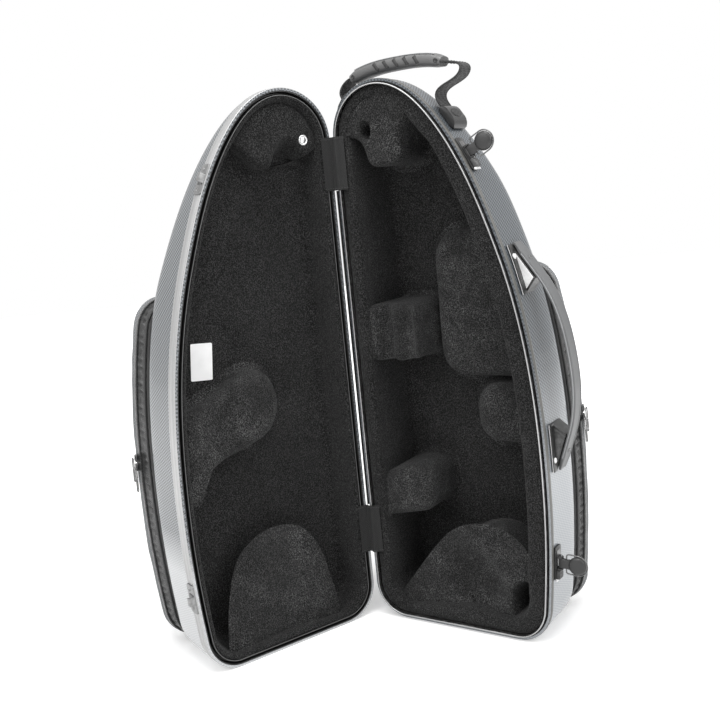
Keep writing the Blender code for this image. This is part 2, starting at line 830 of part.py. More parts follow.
def make_latch(base, label, height):
    """Plate, pin, lever and wire bail, in a frame on the wall with X pointing out."""
    wall = base.wall_frame(f"{label}_latch_place", height)
    half = LATCH_LENGTH / 2
    foot, deck = FIT, FIT + PLATE_THICKNESS
    low, high = LATCH_DEPTH - LATCH_WIDTH / 2, LATCH_DEPTH + LATCH_WIDTH / 2
    body = box((foot, low, -half), (deck, high, half))
    plate = solid(f"{label}_latch_plate", body, "black_plastic", wall)
    ear_in = LEVER_ARM_WIDTH / 2 + FIT
    ear_out = ear_in + EAR_THICKNESS
    ear_low, ear_high = LATCH_DEPTH - EAR_WIDTH / 2, LATCH_DEPTH + EAR_WIDTH / 2
    for side, (start, end) in {"foot": (-ear_out, -ear_in), "head": (ear_in, ear_out)}.items():
        ear = box((foot + FIT, ear_low, start), (EAR_HEIGHT, ear_high, end))
        boolean(plate, "UNION", solid(f"{label}_ear_{side}", ear, None, wall, helper=True))

    lever_pivot = empty(f"{label}_lever_pivot", wall, (LEVER_PIN_HEIGHT, LATCH_DEPTH, 0))
    pin_reach = ear_out + 0.6 * MM
    pin_hole = solid(
        f"{label}_latch_drill",
        cylinder(LEVER_PIN_RADIUS + FIT, (0, 0, -pin_reach - MM), (0, 0, pin_reach + MM)),
        None,
        lever_pivot,
        helper=True,
    )
    boolean(plate, "DIFFERENCE", pin_hole)
    pin = cylinder(LEVER_PIN_RADIUS, (0, 0, -pin_reach), (0, 0, pin_reach))
    solid(f"{label}_latch_pin", pin, "steel", lever_pivot)

    arm = LEVER_ARM_WIDTH / 2
    reach = LEVER_LENGTH - LEVER_PIN_HEIGHT
    open_angle = math.asin(arm / LEVER_PAD_RADIUS)
    turn_steps = 18
    outline = [(-LEVER_HEEL, -arm)]
    for k in range(turn_steps + 1):
        angle = -math.pi + open_angle + (2 * math.pi - 2 * open_angle) * k / turn_steps
        outline.append(
            (reach + LEVER_PAD_RADIUS * math.cos(angle), LEVER_PAD_RADIUS * math.sin(angle))
        )
    outline.append((-LEVER_HEEL, arm))
    half_thick = LEVER_THICKNESS / 2
    lever = solid(
        f"{label}_latch_lever",
        prism(outline, -half_thick, half_thick, "xzy"),
        "grey_plastic",
        lever_pivot,
    )
    boolean(lever, "DIFFERENCE", pin_hole)

    bail_pivot = empty(f"{label}_bail_pivot", lever_pivot, (BAIL_PIVOT - LEVER_PIN_HEIGHT, 0, 0))
    bail_hole = solid(
        f"{label}_bail_drill",
        cylinder(WIRE_RADIUS + FIT, (0, 0, -arm - MM), (0, 0, arm + MM), 10),
        None,
        bail_pivot,
        helper=True,
    )
    boolean(lever, "DIFFERENCE", bail_hole)
    spread = LEVER_PAD_RADIUS + BAIL_CLEARANCE + WIRE_RADIUS
    loop_centre = LEVER_LENGTH - BAIL_PIVOT
    route = [(0, -1.5 * MM), (0, -spread + 1.5 * MM), (1.5 * MM, -spread), (loop_centre, -spread)]
    for k in range(1, 12):
        angle = -math.pi / 2 + math.pi * k / 12
        route.append((loop_centre + spread * math.cos(angle), spread * math.sin(angle)))
    route += [(x, -z) for x, z in route[:4]][::-1]
    wire_path(f"{label}_latch_bail", route, WIRE_RADIUS, "steel", bail_pivot)


def wire_path(name, route, radius, slot, parent):
    """A bent wire in the XZ plane, as a bevelled curve with filled ends."""
    curve = bpy.data.curves.new(name, "CURVE")
    curve.dimensions = "3D"
    curve.bevel_depth = radius
    curve.bevel_resolution = 2
    curve.use_fill_caps = True
    spline = curve.splines.new("POLY")
    spline.points.add(len(route) - 1)
    for point, (x, z) in zip(spline.points, route):
        point.co = (x, 0, z, 1)
    wire = bpy.data.objects.new(name, curve)
    bpy.context.scene.collection.objects.link(wire)
    wire.parent = parent
    curve.materials.append(material(slot).copy())
    return wire


def make_keeper(lid, label, height):
    """A plate on the lid's wall and the hook that the bail drops behind."""
    wall = lid.wall_frame(f"{label}_keeper_place", height)
    half = KEEPER_LENGTH / 2
    deck = FIT + PLATE_THICKNESS
    near, far = KEEPER_SETBACK, KEEPER_SETBACK + KEEPER_WIDTH
    plate = solid(f"{label}_keeper", box((FIT, near, -half), (deck, far, half)), "steel", wall)
    under = LEVER_PIN_HEIGHT + WIRE_RADIUS + 2 * FIT
    inner = near + HOOK_THICKNESS
    profile = [
        (deck - FIT, near),
        (under + HOOK_THICKNESS, near),
        (under + HOOK_THICKNESS, near + HOOK_REACH),
        (under, near + HOOK_REACH),
        (under - FIT, inner),
        (deck - FIT, inner),
    ]
    hook = prism(profile, -HOOK_LENGTH / 2, HOOK_LENGTH / 2, "xyz")
    boolean(plate, "UNION", solid(f"{label}_hook", hook, None, wall, helper=True))


def wall_run(shell, low, high, away, steps):
    """Points beside the free wall between two heights, this far out."""
    run = []
    for k in range(steps + 1):
        place, out, _ = shell.wall_at(low + (high - low) * k / steps)
        run.append(place + out * away)
    return run


def make_side_handle(base):
    """Two wedge brackets on the free wall and the bowed strap that lies on their slopes."""
    ends = {
        "upper": (BRACKET_TOP, BRACKET_TOP - BRACKET_LENGTH),
        "lower": (BRACKET_FOOT, BRACKET_FOOT + BRACKET_LENGTH),
    }
    slopes = []
    for label, (far, near) in ends.items():
        run = wall_run(base, min(far, near), max(far, near), FIT + 0.3 * MM, 4)
        if far > near:
            run = run[::-1]
        near_place, out, _ = base.wall_at(near)
        apex_place = base.wall_at(far + (near - far) * 0.76)[0]
        apex = apex_place + out * BRACKET_HEIGHT
        wedge_outline = run + [apex]
        deep = BRACKET_DEPTH + STRAP_WIDTH + STRAP_SETBACK
        wedge = prism(wedge_outline, BRACKET_DEPTH, deep, "xzy")
        bracket = solid(f"{label}_handle_bracket", wedge, "black_plastic", base.frame)
        outer = wall_run(base, min(far, near), max(far, near), FIT + 0.3 * MM + FLANGE_THICKNESS, 4)
        if far > near:
            outer = outer[::-1]
        flange = prism(
            run + outer[::-1], BRACKET_DEPTH - FLANGE_WIDTH, BRACKET_DEPTH + 3 * MM, "xzy"
        )
        flange_body = solid(f"{label}_bracket_flange", flange, None, base.frame, helper=True)
        boolean(bracket, "UNION", flange_body)
        slopes.append((run[0], apex))
        make_bracket_screw(base, label, far + (near - far) * 0.24)
    (top, top_apex), (foot, foot_apex) = slopes
    middle_place, out, _ = base.wall_at((BRACKET_TOP + BRACKET_FOOT) / 2)
    crown = middle_place + out * (STRAP_RISE + STRAP_THICKNESS / 2)
    lift = STRAP_THICKNESS / 2 + FIT + 0.2 * MM
    rise = (top_apex - top).normalized()
    fall = (foot - foot_apex).normalized()
    rise_out = Vector((-rise.y, rise.x))
    fall_out = Vector((-fall.y, fall.x))
    points = [
        top + rise_out * lift,
        top_apex + rise_out * lift,
        crown,
        foot_apex + fall_out * lift,
        foot + fall_out * lift,
    ]
    along = Vector((out.y, -out.x))
    path = smooth_path(points, [rise, rise, along, fall, fall], 8)
    ribbon(
        "side_handle_strap",
        [base.point(p.x, BRACKET_DEPTH + STRAP_SETBACK + STRAP_WIDTH / 2, p.y) for p in path],
        STRAP_WIDTH,
        STRAP_THICKNESS,
        "grey_plastic",
        base.frame,
    )


def make_bracket_screw(base, label, height):
    wall = base.wall_frame(f"{label}_screw_place", height)
    seat = FIT + 0.3 * MM + FLANGE_THICKNESS + FIT
    depth = BRACKET_DEPTH - FLANGE_WIDTH / 2
    head = cylinder(SCREW_RADIUS, (seat, depth, 0), (seat + 1.2 * MM, depth, 0), 16)
    solid(f"{label}_bracket_screw", head, "steel", wall)


def ribbon(name, path, width, thickness, slot, parent):
    """A flat strip along a path in the u-z plane, with its width along the depth."""
    across = Vector((0, width / 2, 0))
    rings = []
    for k, point in enumerate(path):
        before, after = path[max(k - 1, 0)], path[min(k + 1, len(path) - 1)]
        up = (after - before).normalized().cross(Vector((0, 1, 0))) * thickness / 2
        rings.append(
            [point + up + across, point + up - across, point - up - across, point - up + across]
        )
    return solid(name, loft(rings), slot, parent)


def make_anchor(base, label, place, out):
    """A low moulded block on the wall, with a blunt upper end; returns its two webbing seats."""
    along = Vector((out.y, -out.x))
    half = ANCHOR_LENGTH / 2
    foot = place + out * 1.6 * MM
    outline = [
        foot - along * half,
        foot - along * half + out * ANCHOR_HEIGHT * 0.75,
        foot - along * half * 0.6 + out * ANCHOR_HEIGHT,
        foot + along * half * 0.3 + out * ANCHOR_HEIGHT,
        foot + along * half * 0.7 + out * ANCHOR_HEIGHT * 0.7,
        foot + along * half,
    ]
    low, high = TOP_HANDLE_DEPTH - ANCHOR_WIDTH / 2, TOP_HANDLE_DEPTH + ANCHOR_WIDTH / 2
    solid(f"{label}_anchor", prism(outline, low, high, "xzy"), "black_plastic", base.frame)
    face = foot + out * (ANCHOR_HEIGHT + 0.4 * MM)
    end = foot - along * (half + 0.4 * MM) + out * ANCHOR_HEIGHT * 0.4
    return face, end


def neck_wall_at(base, u):
    """The point of the top arc on the hinge side of the neck, and its outward direction."""
    loop = base.outline
    for k, a in enumerate(loop):
        b = loop[(k + 1) % len(loop)]
        if a.x > u >= b.x and a.y > CASE_LENGTH - NECK_DROP:
            way = (b - a).normalized()
            return a.lerp(b, (u - a.x) / (b.x - a.x)), Vector((way.y, -way.x))


def make_top_handle(base):
    neck_place, neck_out = neck_wall_at(base, NECK_ANCHOR_U)
    neck_end = make_anchor(base, "neck", neck_place, neck_out)[0]
    side_place, side_out, _ = base.wall_at(SIDE_ANCHOR_HEIGHT)
    side_end = make_anchor(base, "side", side_place, side_out)[1]
    side_along = Vector((side_out.y, -side_out.x))
    pivot_point = base.point(neck_end.x, TOP_HANDLE_DEPTH, neck_end.y)
    pivot = empty("top_handle_pivot", base.frame, pivot_point)

    def local(points):
        return [base.point(p.x, TOP_HANDLE_DEPTH, p.y) - pivot_point for p in points]

    middle = CASE_LENGTH + GRIP_CLEARANCE
    grip_points = [
        Vector((neck_end.x + 12 * MM, middle - 9 * MM)),
        Vector(((neck_end.x + side_end.x) / 2, middle)),
        Vector((side_end.x + 2 * MM, middle - 6 * MM)),
    ]
    grip_ways = [(0.93, 0.36), (1, 0.02), (0.95, -0.3)]
    grip_path = smooth_path(grip_points, grip_ways, 7)
    bm = loft(grip_rings(local(grip_path)))
    solid("handle_grip", bm, "grey_plastic", pivot)
    gap = 0.4 * MM
    start_way, end_way = Vector(grip_ways[0]).normalized(), Vector(grip_ways[2]).normalized()
    neck_route = smooth_path(
        [neck_end, grip_points[0] - start_way * gap], [neck_out, start_way], 8
    )
    ribbon(
        "neck_webbing", local(neck_route), WEBBING_WIDTH, WEBBING_THICKNESS, "webbing", pivot
    )
    loop_start = grip_points[2] + end_way * gap
    outermost = Vector((loop_start.x + LOOP_OUTREACH, loop_start.y - 12 * MM))
    inmost = side_end - side_along * 12 * MM + side_out * 2 * MM
    side_route = smooth_path(
        [loop_start, outermost, inmost, side_end],
        [end_way, (-0.35, -1), (0.05, -1), side_along],
        6,
    )
    ribbon(
        "side_webbing", local(side_route), WEBBING_WIDTH, WEBBING_THICKNESS, "webbing", pivot
    )


def grip_rings(path):
    """Rounded sections along the grip, a little slimmer at its ends."""
    rings = []
    for k, point in enumerate(path):
        before, after = path[max(k - 1, 0)], path[min(k + 1, len(path) - 1)]
        up = (after - before).normalized().cross(Vector((0, 1, 0)))
        from_end = min(k, len(path) - 1 - k)
        full = min(1, 0.8 + 0.1 * from_end)
        ring = []
        for angle in (math.radians(a) for a in range(0, 360, 30)):
            side = Vector((0, math.cos(angle), 0)) * GRIP_WIDTH / 2
            lift = up * math.sin(angle) * GRIP_THICKNESS / 2 * full
            ring.append(point + side + lift)
        rings.append(ring)
    return rings


def pocket_outline(shell):
    """The bag's outline: the shell's own outline, cut off level and rounded at its top."""
    loop = inset(shell.outline, POCKET_INSET)
    below = []
    for k, point in enumerate(loop):
        following = loop[(k + 1) % len(loop)]
        if point.y < POCKET_TOP:
            below.append(Vector((point.x, max(point.y, POCKET_FOOT))))
        if (point.y - POCKET_TOP) * (following.y - POCKET_TOP) < 0:
            below.append(crossing(point, following, POCKET_TOP))
    tops = [k for k, p in enumerate(below) if abs(p.y - POCKET_TOP) < 1e-6]
    made = []
    for k, point in enumerate(below):
        if k not in tops:
            made.append(point)
            continue
        before, after = below[k - 1], below[(k + 1) % len(below)]
        start = point + (before - point).normalized() * min(POCKET_CORNER, (before - point).length * 0.8)
        end = point + (after - point).normalized() * min(POCKET_CORNER, (after - point).length * 0.8)
        for step in range(6):
            t = step / 5
            made.append(start.lerp(point, t).lerp(point.lerp(end, t), t))
    return made


def make_pocket(shell, thickness):
    outline = pocket_outline(shell)
    back = shell.depth + POCKET_GAP
    sections = [(8, 0), (2, 0.22), (-1, 0.5), (-1.5, 0.66), (2, 0.86), (8, 0.96), (18, 1)]
    rings = [
        shell.ring(inset(outline, away * MM), back + thickness * part) for away, part in sections
    ]
    solid(f"{shell.name}_pocket", loft(rings), "nylon", shell.frame)

    zip_depth = back + thickness * ZIP_PLACE
    widest = inset(outline, -POCKET_BULGE - FIT)
    outer = inset(outline, -POCKET_BULGE - FIT - ZIP_THICKNESS)
    keep = [k for k, p in enumerate(outline) if p.x > ZIP_START]
    start = next(k for k in keep if (k - 1) % len(outline) not in keep)
    order = [(start + k) % len(outline) for k in range(len(keep))]
    half = ZIP_WIDTH / 2
    rings = []
    for k in order:
        rings.append(
            [
                shell.point(widest[k].x, zip_depth - half, widest[k].y),
                shell.point(outer[k].x, zip_depth - half, outer[k].y),
                shell.point(outer[k].x, zip_depth + half, outer[k].y),
                shell.point(widest[k].x, zip_depth + half, widest[k].y),
            ]
        )
    solid(f"{shell.name}_pocket_zip", loft(rings), "nylon", shell.frame)
    for label, away in (("upper", 1), ("lower", -1)):
        make_slider(shell, label, away, outer, zip_depth)


def make_slider(shell, label, away, track, zip_depth):
    """A zip slider on the outside of the zip, and the pull that hangs from it."""
    height = SLIDER_HEIGHTS[shell.name] + away * (SLIDER_LENGTH / 2 + SLIDER_GAP)
    middle = SLIDER_HEIGHTS[shell.name]
    for k, a in enumerate(track):
        b = track[(k + 1) % len(track)]
        if a.y <= middle < b.y:
            up = (b - a).normalized()
            place = crossing(a, b, middle) + up * (height - middle)
    out = Vector((up.y, -up.x))
    x = shell.point(out.x, 0, out.y)
    y = Vector((0, 1, 0))
    turn = Matrix((x, y, x.cross(y))).transposed()
    name = f"{shell.name}_{label}"
    origin = shell.point(place.x, zip_depth, place.y)
    frame = empty(f"{name}_slider_place", shell.frame, origin, turn)
    half, wide = SLIDER_LENGTH / 2, SLIDER_WIDTH / 2
    rise = FIT + 0.1 * MM
    body = box((rise, -wide, -half), (rise + SLIDER_HEIGHT, wide, half))
    solid(f"{name}_slider", body, "dark_metal", frame)
    shift = away * (PULL_WIDTH / 2 + 0.6 * MM)
    low, high = sorted((-shell.side * PULL_LENGTH, shell.side * PULL_HEAD))
    pull_rise = rise + SLIDER_HEIGHT + FIT + PULL_THICKNESS / 2
    pivot_place = origin + x * pull_rise
    pivot = empty(f"{name}_pull_pivot", shell.frame, pivot_place, turn)
    drop = box(
        (-PULL_THICKNESS / 2, shift - PULL_WIDTH / 2, low),
        (PULL_THICKNESS / 2, shift + PULL_WIDTH / 2, high),
    )
    solid(f"{name}_pull", drop, "dark_metal", pivot)


def make_lid_marks(lid):
    """The blank label on the cavity's floor and the press stud on the neck pad."""
    u, z = LABEL_PLACE
    wide, tall, thick = LABEL_SIZE
    floor = LID_CAVITY_DEPTH
    low = lid.point(u - wide / 2, floor - FIT - thick, z - tall / 2)
    high = lid.point(u + wide / 2, floor - FIT, z + tall / 2)
    xs = sorted((low.x, high.x))
    body = box((xs[0], low.y, low.z), (xs[1], high.y, high.z))
    solid("blank_label", body, "label", lid.frame)
    z = CASE_LENGTH - STUD_DROP
    seat = LID_NECK_PAD_TOP - FIT
    stud = cylinder(
        STUD_RADIUS, lid.point(STUD_U, seat - STUD_THICKNESS, z), lid.point(STUD_U, seat, z), 20
    )
    solid("press_stud", stud, "steel", lid.frame)


def centre_on_floor(root):
    """Puts the middle of the case's bounding box over the origin, with its foot at zero."""
    bpy.context.view_layer.update()
    graph = bpy.context.evaluated_depsgraph_get()
    low, high = Vector((9, 9, 9)), Vector((-9, -9, -9))
    for item in bpy.data.objects:
        if item.type == "EMPTY" or item.hide_render:
            continue
        shape = item.evaluated_get(graph)
        for vertex in shape.to_mesh().vertices:
            point = shape.matrix_world @ vertex.co
            low = Vector(map(min, low, point))
            high = Vector(map(max, high, point))
        shape.to_mesh_clear()
    root.location = (-(low.x + high.x) / 2, -(low.y + high.y) / 2, -low.z)


def main():
    clear_scene()
    root = empty("case_root", None)
    base = Shell("base", 1, root, BASE_DEPTH, BASE_NECK_DEPTH, BASE_CREASE)
    lid = Shell("lid", -1, root, LID_DEPTH, LID_NECK_DEPTH, LID_CREASE)
    make_tray(base)
    make_tray(lid)
    make_base_foam(base, make_base_rim(base))
    make_lid_foam(lid, make_lid_rim(lid))
    make_lid_marks(lid)
    for label, height in HINGE_HEIGHTS.items():
        make_hinge(base, lid, label, height)
        make_tape(base, lid, label, height, root)
    for label, height in LATCH_HEIGHTS.items():
        make_latch(base, label, height)
        make_keeper(lid, label, height)
    make_side_handle(base)
    make_top_handle(base)
    make_pocket(base, BASE_POCKET_THICKNESS)
    make_pocket(lid, LID_POCKET_THICKNESS)
    centre_on_floor(root)


main()
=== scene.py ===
import json
import math

import bmesh
import bpy
from mathutils import Matrix, Vector, noise


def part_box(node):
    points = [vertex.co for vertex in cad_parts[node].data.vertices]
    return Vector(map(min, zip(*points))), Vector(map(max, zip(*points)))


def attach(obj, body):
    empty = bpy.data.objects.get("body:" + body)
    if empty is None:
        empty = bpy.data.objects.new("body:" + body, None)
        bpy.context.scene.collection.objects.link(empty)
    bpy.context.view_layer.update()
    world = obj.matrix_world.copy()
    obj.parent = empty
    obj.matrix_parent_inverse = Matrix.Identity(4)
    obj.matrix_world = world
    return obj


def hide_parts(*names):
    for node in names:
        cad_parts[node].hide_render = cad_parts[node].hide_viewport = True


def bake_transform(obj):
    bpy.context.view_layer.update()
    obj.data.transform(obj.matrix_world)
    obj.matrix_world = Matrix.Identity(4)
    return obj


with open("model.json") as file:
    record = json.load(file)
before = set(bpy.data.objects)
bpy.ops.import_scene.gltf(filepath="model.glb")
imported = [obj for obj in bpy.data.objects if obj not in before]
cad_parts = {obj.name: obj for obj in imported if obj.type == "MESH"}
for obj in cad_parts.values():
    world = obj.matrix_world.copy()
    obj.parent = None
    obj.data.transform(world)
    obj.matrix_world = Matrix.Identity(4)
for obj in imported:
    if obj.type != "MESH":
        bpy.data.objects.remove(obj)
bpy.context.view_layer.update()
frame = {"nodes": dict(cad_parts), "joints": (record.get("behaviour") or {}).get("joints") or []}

joints = {joint["name"]: joint for joint in frame["joints"]}
mm = 0.001
quarter = math.pi / 2
zUp = Vector((0, 0, 1))
canvas = bpy.context.scene.collection


def inMm(values):
    # Millimetres as metres, in a number, a list or a dictionary of them
    if isinstance(values, dict):
        return {name: inMm(value) for name, value in values.items()}
    if isinstance(values, (list, tuple)):
        return type(values)(inMm(value) for value in values)
    return values * mm


# Both halves are drawn alike: u from the hinge to the free side, d into the shell, z up
case = inMm({
    "length": 650,
    "width": 243,
    "hingeGap": 2.6,
    "footRadius": 42,
    "sideTaper": 7,
    "bellyHeight": 174,
    "flank": (204, 189),  # how wide, how far below the top
    "shoulder": (133, 42),
    "neckCentre": 63,
    "neckDrop": 60,
    "middle": (112, 300),
    "creaseBlend": 24,
})
halfTurn = math.radians(34)
pointsAround = 360
halves = inMm({
    "base": {"depth": 95, "neckDepth": 52, "crease": 520},
    "lid": {"depth": 97, "neckDepth": 44, "crease": 434},
})
for name, side in (("base", 1), ("lid", -1)):
    halves[name].update(name=name, side=side)
base, lid = halves["base"], halves["lid"]
pinLow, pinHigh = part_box("upper_hinge_pin")
hingeAt = Vector(((pinLow.x + pinHigh.x) / 2, (pinLow.y + pinHigh.y) / 2, 0))


def uWay(half):
    return Vector((half["side"] * math.cos(halfTurn), -math.sin(halfTurn), 0))


def dWay(half):
    return Vector((half["side"] * math.sin(halfTurn), math.cos(halfTurn), 0))


def place(half, u, d, z):
    return hingeAt + uWay(half) * u + dWay(half) * d + zUp * z


def placeAll(half, points, d):
    return [place(half, p.x, d, p.y) for p in points]


def matrixOf(spot, x, y, z):
    return Matrix.Translation(spot) @ Matrix((x, y, z)).transposed().to_4x4()


# Curves in the plane
def bezierRun(start, startWay, end, endWay, steps):
    p, q = Vector(start), Vector(end)
    a, b = Vector(startWay).normalized(), Vector(endWay).normalized()
    reach = (q - p).length / (3 * math.cos(a.angle(b) / 4) ** 2)
    knots = (p, p + a * reach, q - b * reach, q)
    run = []
    for step in range(steps):
        t = step / steps
        weights = ((1 - t) ** 3, 3 * t * (1 - t) ** 2, 3 * t * t * (1 - t), t**3)
        run.append(sum((knot * weight for knot, weight in zip(knots, weights)), p * 0))
    return run


def smoothPath(points, ways, steps):
    path = []
    for k in range(len(points) - 1):
        path += bezierRun(points[k], ways[k], points[k + 1], ways[k + 1], steps)
    return path + [Vector(points[-1])]


def runLengths(points):
    lengths = [0]
    for a, b in zip(points, points[1:]):
        lengths.append(lengths[-1] + (b - a).length)
    return lengths


def evenly(points, count, closed=True):
    run = [p.copy() for p in points] + ([points[0].copy()] if closed else [])
    lengths = runLengths(run)
    made, k = [], 0
    for step in range(count):
        goal = lengths[-1] * step / (count if closed else count - 1)
        while k < len(run) - 2 and lengths[k + 1] < goal:
            k += 1
        share = (goal - lengths[k]) / max(lengths[k + 1] - lengths[k], 1e-9)
        made.append(run[k].lerp(run[k + 1], min(max(share, 0), 1)))
    return made


def caseOutline():
    top, wide, gap, foot = case["length"], case["width"], case["hingeGap"], case["footRadius"]
    side = wide - case["sideTaper"]
    anchors = [
        ((gap + foot, 0), (1, 0)),
        ((side - foot, 0), (1, 0)),
        ((side, foot), (0.1, 1)),
        ((wide, case["bellyHeight"]), (0, 1)),
        ((case["flank"][0], top - case["flank"][1]), (-0.32, 0.947)),
        ((case["shoulder"][0], top - case["shoulder"][1]), (-0.62, 0.78)),
        ((case["neckCentre"], top), (-1, 0)),
        ((gap, top - case["neckDrop"]), (0, -1)),
        ((gap, foot), (0, -1)),
    ]
    loop = []
    for k, (point, way) in enumerate(anchors):
        loop += bezierRun(point, way, *anchors[(k + 1) % len(anchors)], 60)
    return evenly(loop, pointsAround)


def insetLoop(loop, distance):
    made = []
    for k, point in enumerate(loop):
        way = (loop[(k + 1) % len(loop)] - loop[k - 1]).normalized()
        made.append(point + Vector((-way.y, way.x)) * distance)
    return made


def rounded(corners, radius, steps=6):
    made = []
    for k, corner in enumerate(corners):
        corner = Vector(corner)
        before, after = Vector(corners[k - 1]), Vector(corners[(k + 1) % len(corners)])
        cut = min(radius, 0.47 * (before - corner).length, 0.47 * (after - corner).length)
        start = corner + (before - corner).normalized() * cut
        end = corner + (after - corner).normalized() * cut
        for step in range(steps + 1):
            t = step / steps
            made.append(start.lerp(corner, t).lerp(corner.lerp(end, t), t))
    return made


def slab(a, b, radius, steps, centre=(0, 0)):
    # A rectangle with rounded corners, from its half sizes
    x, y = centre
    return rounded([(x - a, y - b), (x + a, y - b), (x + a, y + b), (x - a, y + b)], radius, steps)


def subdivided(corners, longest):
    # The same closed outline with no side longer than a limit
    made = []
    for a, b in zip(corners, corners[1:] + corners[:1]):
        steps = max(1, round((b - a).length / longest))
        made += [a.lerp(b, k / steps) for k in range(steps)]
    return made


def arcPoints(centre, radius, start, turn, steps):
    made = []
    for k in range(steps + 1):
        angle = start + turn * k / steps
        made.append((centre[0] + radius * math.cos(angle), centre[1] + radius * math.sin(angle)))
    return made


outline = caseOutline()


def wallAt(height):
    # A point of the free wall at a height, and its outward way
    for k, a in enumerate(outline):
        b = outline[(k + 1) % len(outline)]
        if a.y <= height < b.y:
            up = (b - a).normalized()
            return a.lerp(b, (height - a.y) / (b.y - a.y)), Vector((up.y, -up.x))


def depthAt(half, z, deep, neckDeep):
    # The depth falls from the crease to the neck end, with a soft bend between
    above = z - half["crease"]
    above = 0.5 * (above + math.sqrt(above * above + case["creaseBlend"] * case["creaseBlend"]))
    return deep - (deep - neckDeep) * above / (case["length"] - half["crease"])


def backDepth(half, z):
    return depthAt(half, z, half["depth"], half["neckDepth"])


# Meshes
def linked(name, data):
    made = bpy.data.objects.new(name, data)
    canvas.objects.link(made)
    return made


def smoothed(mesh, sharpAngle=40):
    mesh.shade_smooth()
    mesh.set_sharp_from_angle(angle=math.radians(sharpAngle))


def meshObject(name, bm, finishName, sharpAngle=40):
    bmesh.ops.recalc_face_normals(bm, faces=bm.faces)
    if bm.calc_volume(signed=True) < 0:
        bmesh.ops.reverse_faces(bm, faces=bm.faces)
    mesh = bpy.data.meshes.new(name)
    bm.to_mesh(mesh)
    bm.free()
    smoothed(mesh, sharpAngle)
    mesh.materials.append(finishes[finishName])
    return linked(name, mesh)


def loft(rings, closedProfile=False, flat=()):
    # Rings of equal count become one closed body; the map runs along the ring and down the rings
    bm = bmesh.new()
    layer = bm.loops.layers.uv.new("surface")
    rows = [[bm.verts.new(point) for point in ring] for ring in rings]
    count = len(rings[0])
    widest = max(rings, key=lambda ring: runLengths(ring)[-1])
    along = runLengths(widest + widest[:1])
    down = [[0] * count]
    for row, ring in enumerate(rings):
        following = rings[(row + 1) % len(rings)]
        down.append([down[-1][k] + (following[k] - ring[k]).length for k in range(count)])

    def mapFlat(face):
        for corner in face.loops:
            co = corner.vert.co
            corner[layer].uv = ((co.xy - hingeAt.xy).length, co.z)

    for row in range(len(rings) if closedProfile else len(rings) - 1):
        low, high = rows[row], rows[(row + 1) % len(rows)]
        for k in range(count):
            n = (k + 1) % count
            face = bm.faces.new((low[k], low[n], high[n], high[k]))
            if row in flat:
                mapFlat(face)
                continue
            places = ((k, row), (k + 1, row), (k + 1, row + 1), (k, row + 1))
            for corner, (i, j) in zip(face.loops, places):
                corner[layer].uv = (along[i], down[j][i % count])
    for row in () if closedProfile else (rows[0], rows[-1]):
        centre = bm.verts.new(sum((v.co for v in row), Vector()) / count)
        for k in range(count):
            mapFlat(bm.faces.new((row[k], row[(k + 1) % count], centre)))
    return bm


def quarterTurn(steps, first=0):
    # How far a quarter circle has closed on each axis, (1 - cos, 1 - sin) at every step
    angles = [quarter * step / steps for step in range(first, steps + 1)]
    return [(1 - math.cos(angle), 1 - math.sin(angle)) for angle in angles]


def ringOf(half, loop, depth):
    deep = depth if callable(depth) else lambda z: depth
    return [place(half, p.x, deep(p.y), p.y) for p in loop]


def box(matrix, low, high, bevel=0.0, segments=2):
    # A block between two corners, in millimetres
    bm = bmesh.new()
    bmesh.ops.create_cube(bm, size=1)
    for vertex in bm.verts:
        vertex.co = Vector(l + (h - l) * (c + 0.5) for l, h, c in zip(inMm(low), inMm(high), vertex.co))
    if bevel:
        bevelled(bm, bm.edges[:], bevel, segments)
    bmesh.ops.transform(bm, matrix=matrix, verts=bm.verts)
    return bm


def bevelled(bm, edges, size, segments):
    bmesh.ops.bevel(bm, geom=edges, offset=size * mm, segments=segments, profile=0.6, affect="EDGES")


def stacked(rows, bevel, segments):
    # Two equal outlines joined by a wall, with rounded rims
    bm = bmesh.new()
    rows = [[bm.verts.new(co) for co in row] for row in rows]
    for row in rows:
        bm.faces.new(row)
    for k in range(len(rows[0])):
        n = (k + 1) % len(rows[0])
        bm.faces.new((rows[0][k], rows[0][n], rows[1][n], rows[1][k]))
    rims = [edge for edge in bm.edges if len({v in rows[0] for v in edge.verts}) == 1]
    bevelled(bm, rims, bevel, segments)
    return bm


def prism(matrix, corners, start, end, axes, bevel, segments=2):
    # An outline on the first two axes, run along the third, in millimetres
    order = ["xyz".index(axis) for axis in axes]
    rows = []
    for along in (start, end):
        row = []
        for a, b in corners:
            co = [0, 0, 0]
            co[order[0]], co[order[1]], co[order[2]] = a, b, along
            row.append(inMm(co))
        rows.append(row)
    bm = stacked(rows, bevel, segments)
    bmesh.ops.transform(bm, matrix=matrix, verts=bm.verts)
    return bm


def depthPrism(corners, start, end, bevel, segments=3):
    # An outline in (u, z) of the base, run along the depth
    return stacked([placeAll(base, corners, d) for d in (start, end)], bevel, segments)


def turned(matrix, profile, sides=40, radius=mm):
    # A profile turned round the matrix's Z; its radii are shares of a radius, its heights millimetres
    rings = []
    for share, height in profile:
        ring = circle(radius * share, sides)
        rings.append([matrix @ Vector((x, y, height * mm)) for x, y in ring])
    return loft(rings)


def join(bms):
    whole = bms[0]
    for other in bms[1:]:
        mesh = bpy.data.meshes.new("part")
        other.to_mesh(mesh)
        other.free()
        whole.from_mesh(mesh)
        bpy.data.meshes.remove(mesh)
    return whole


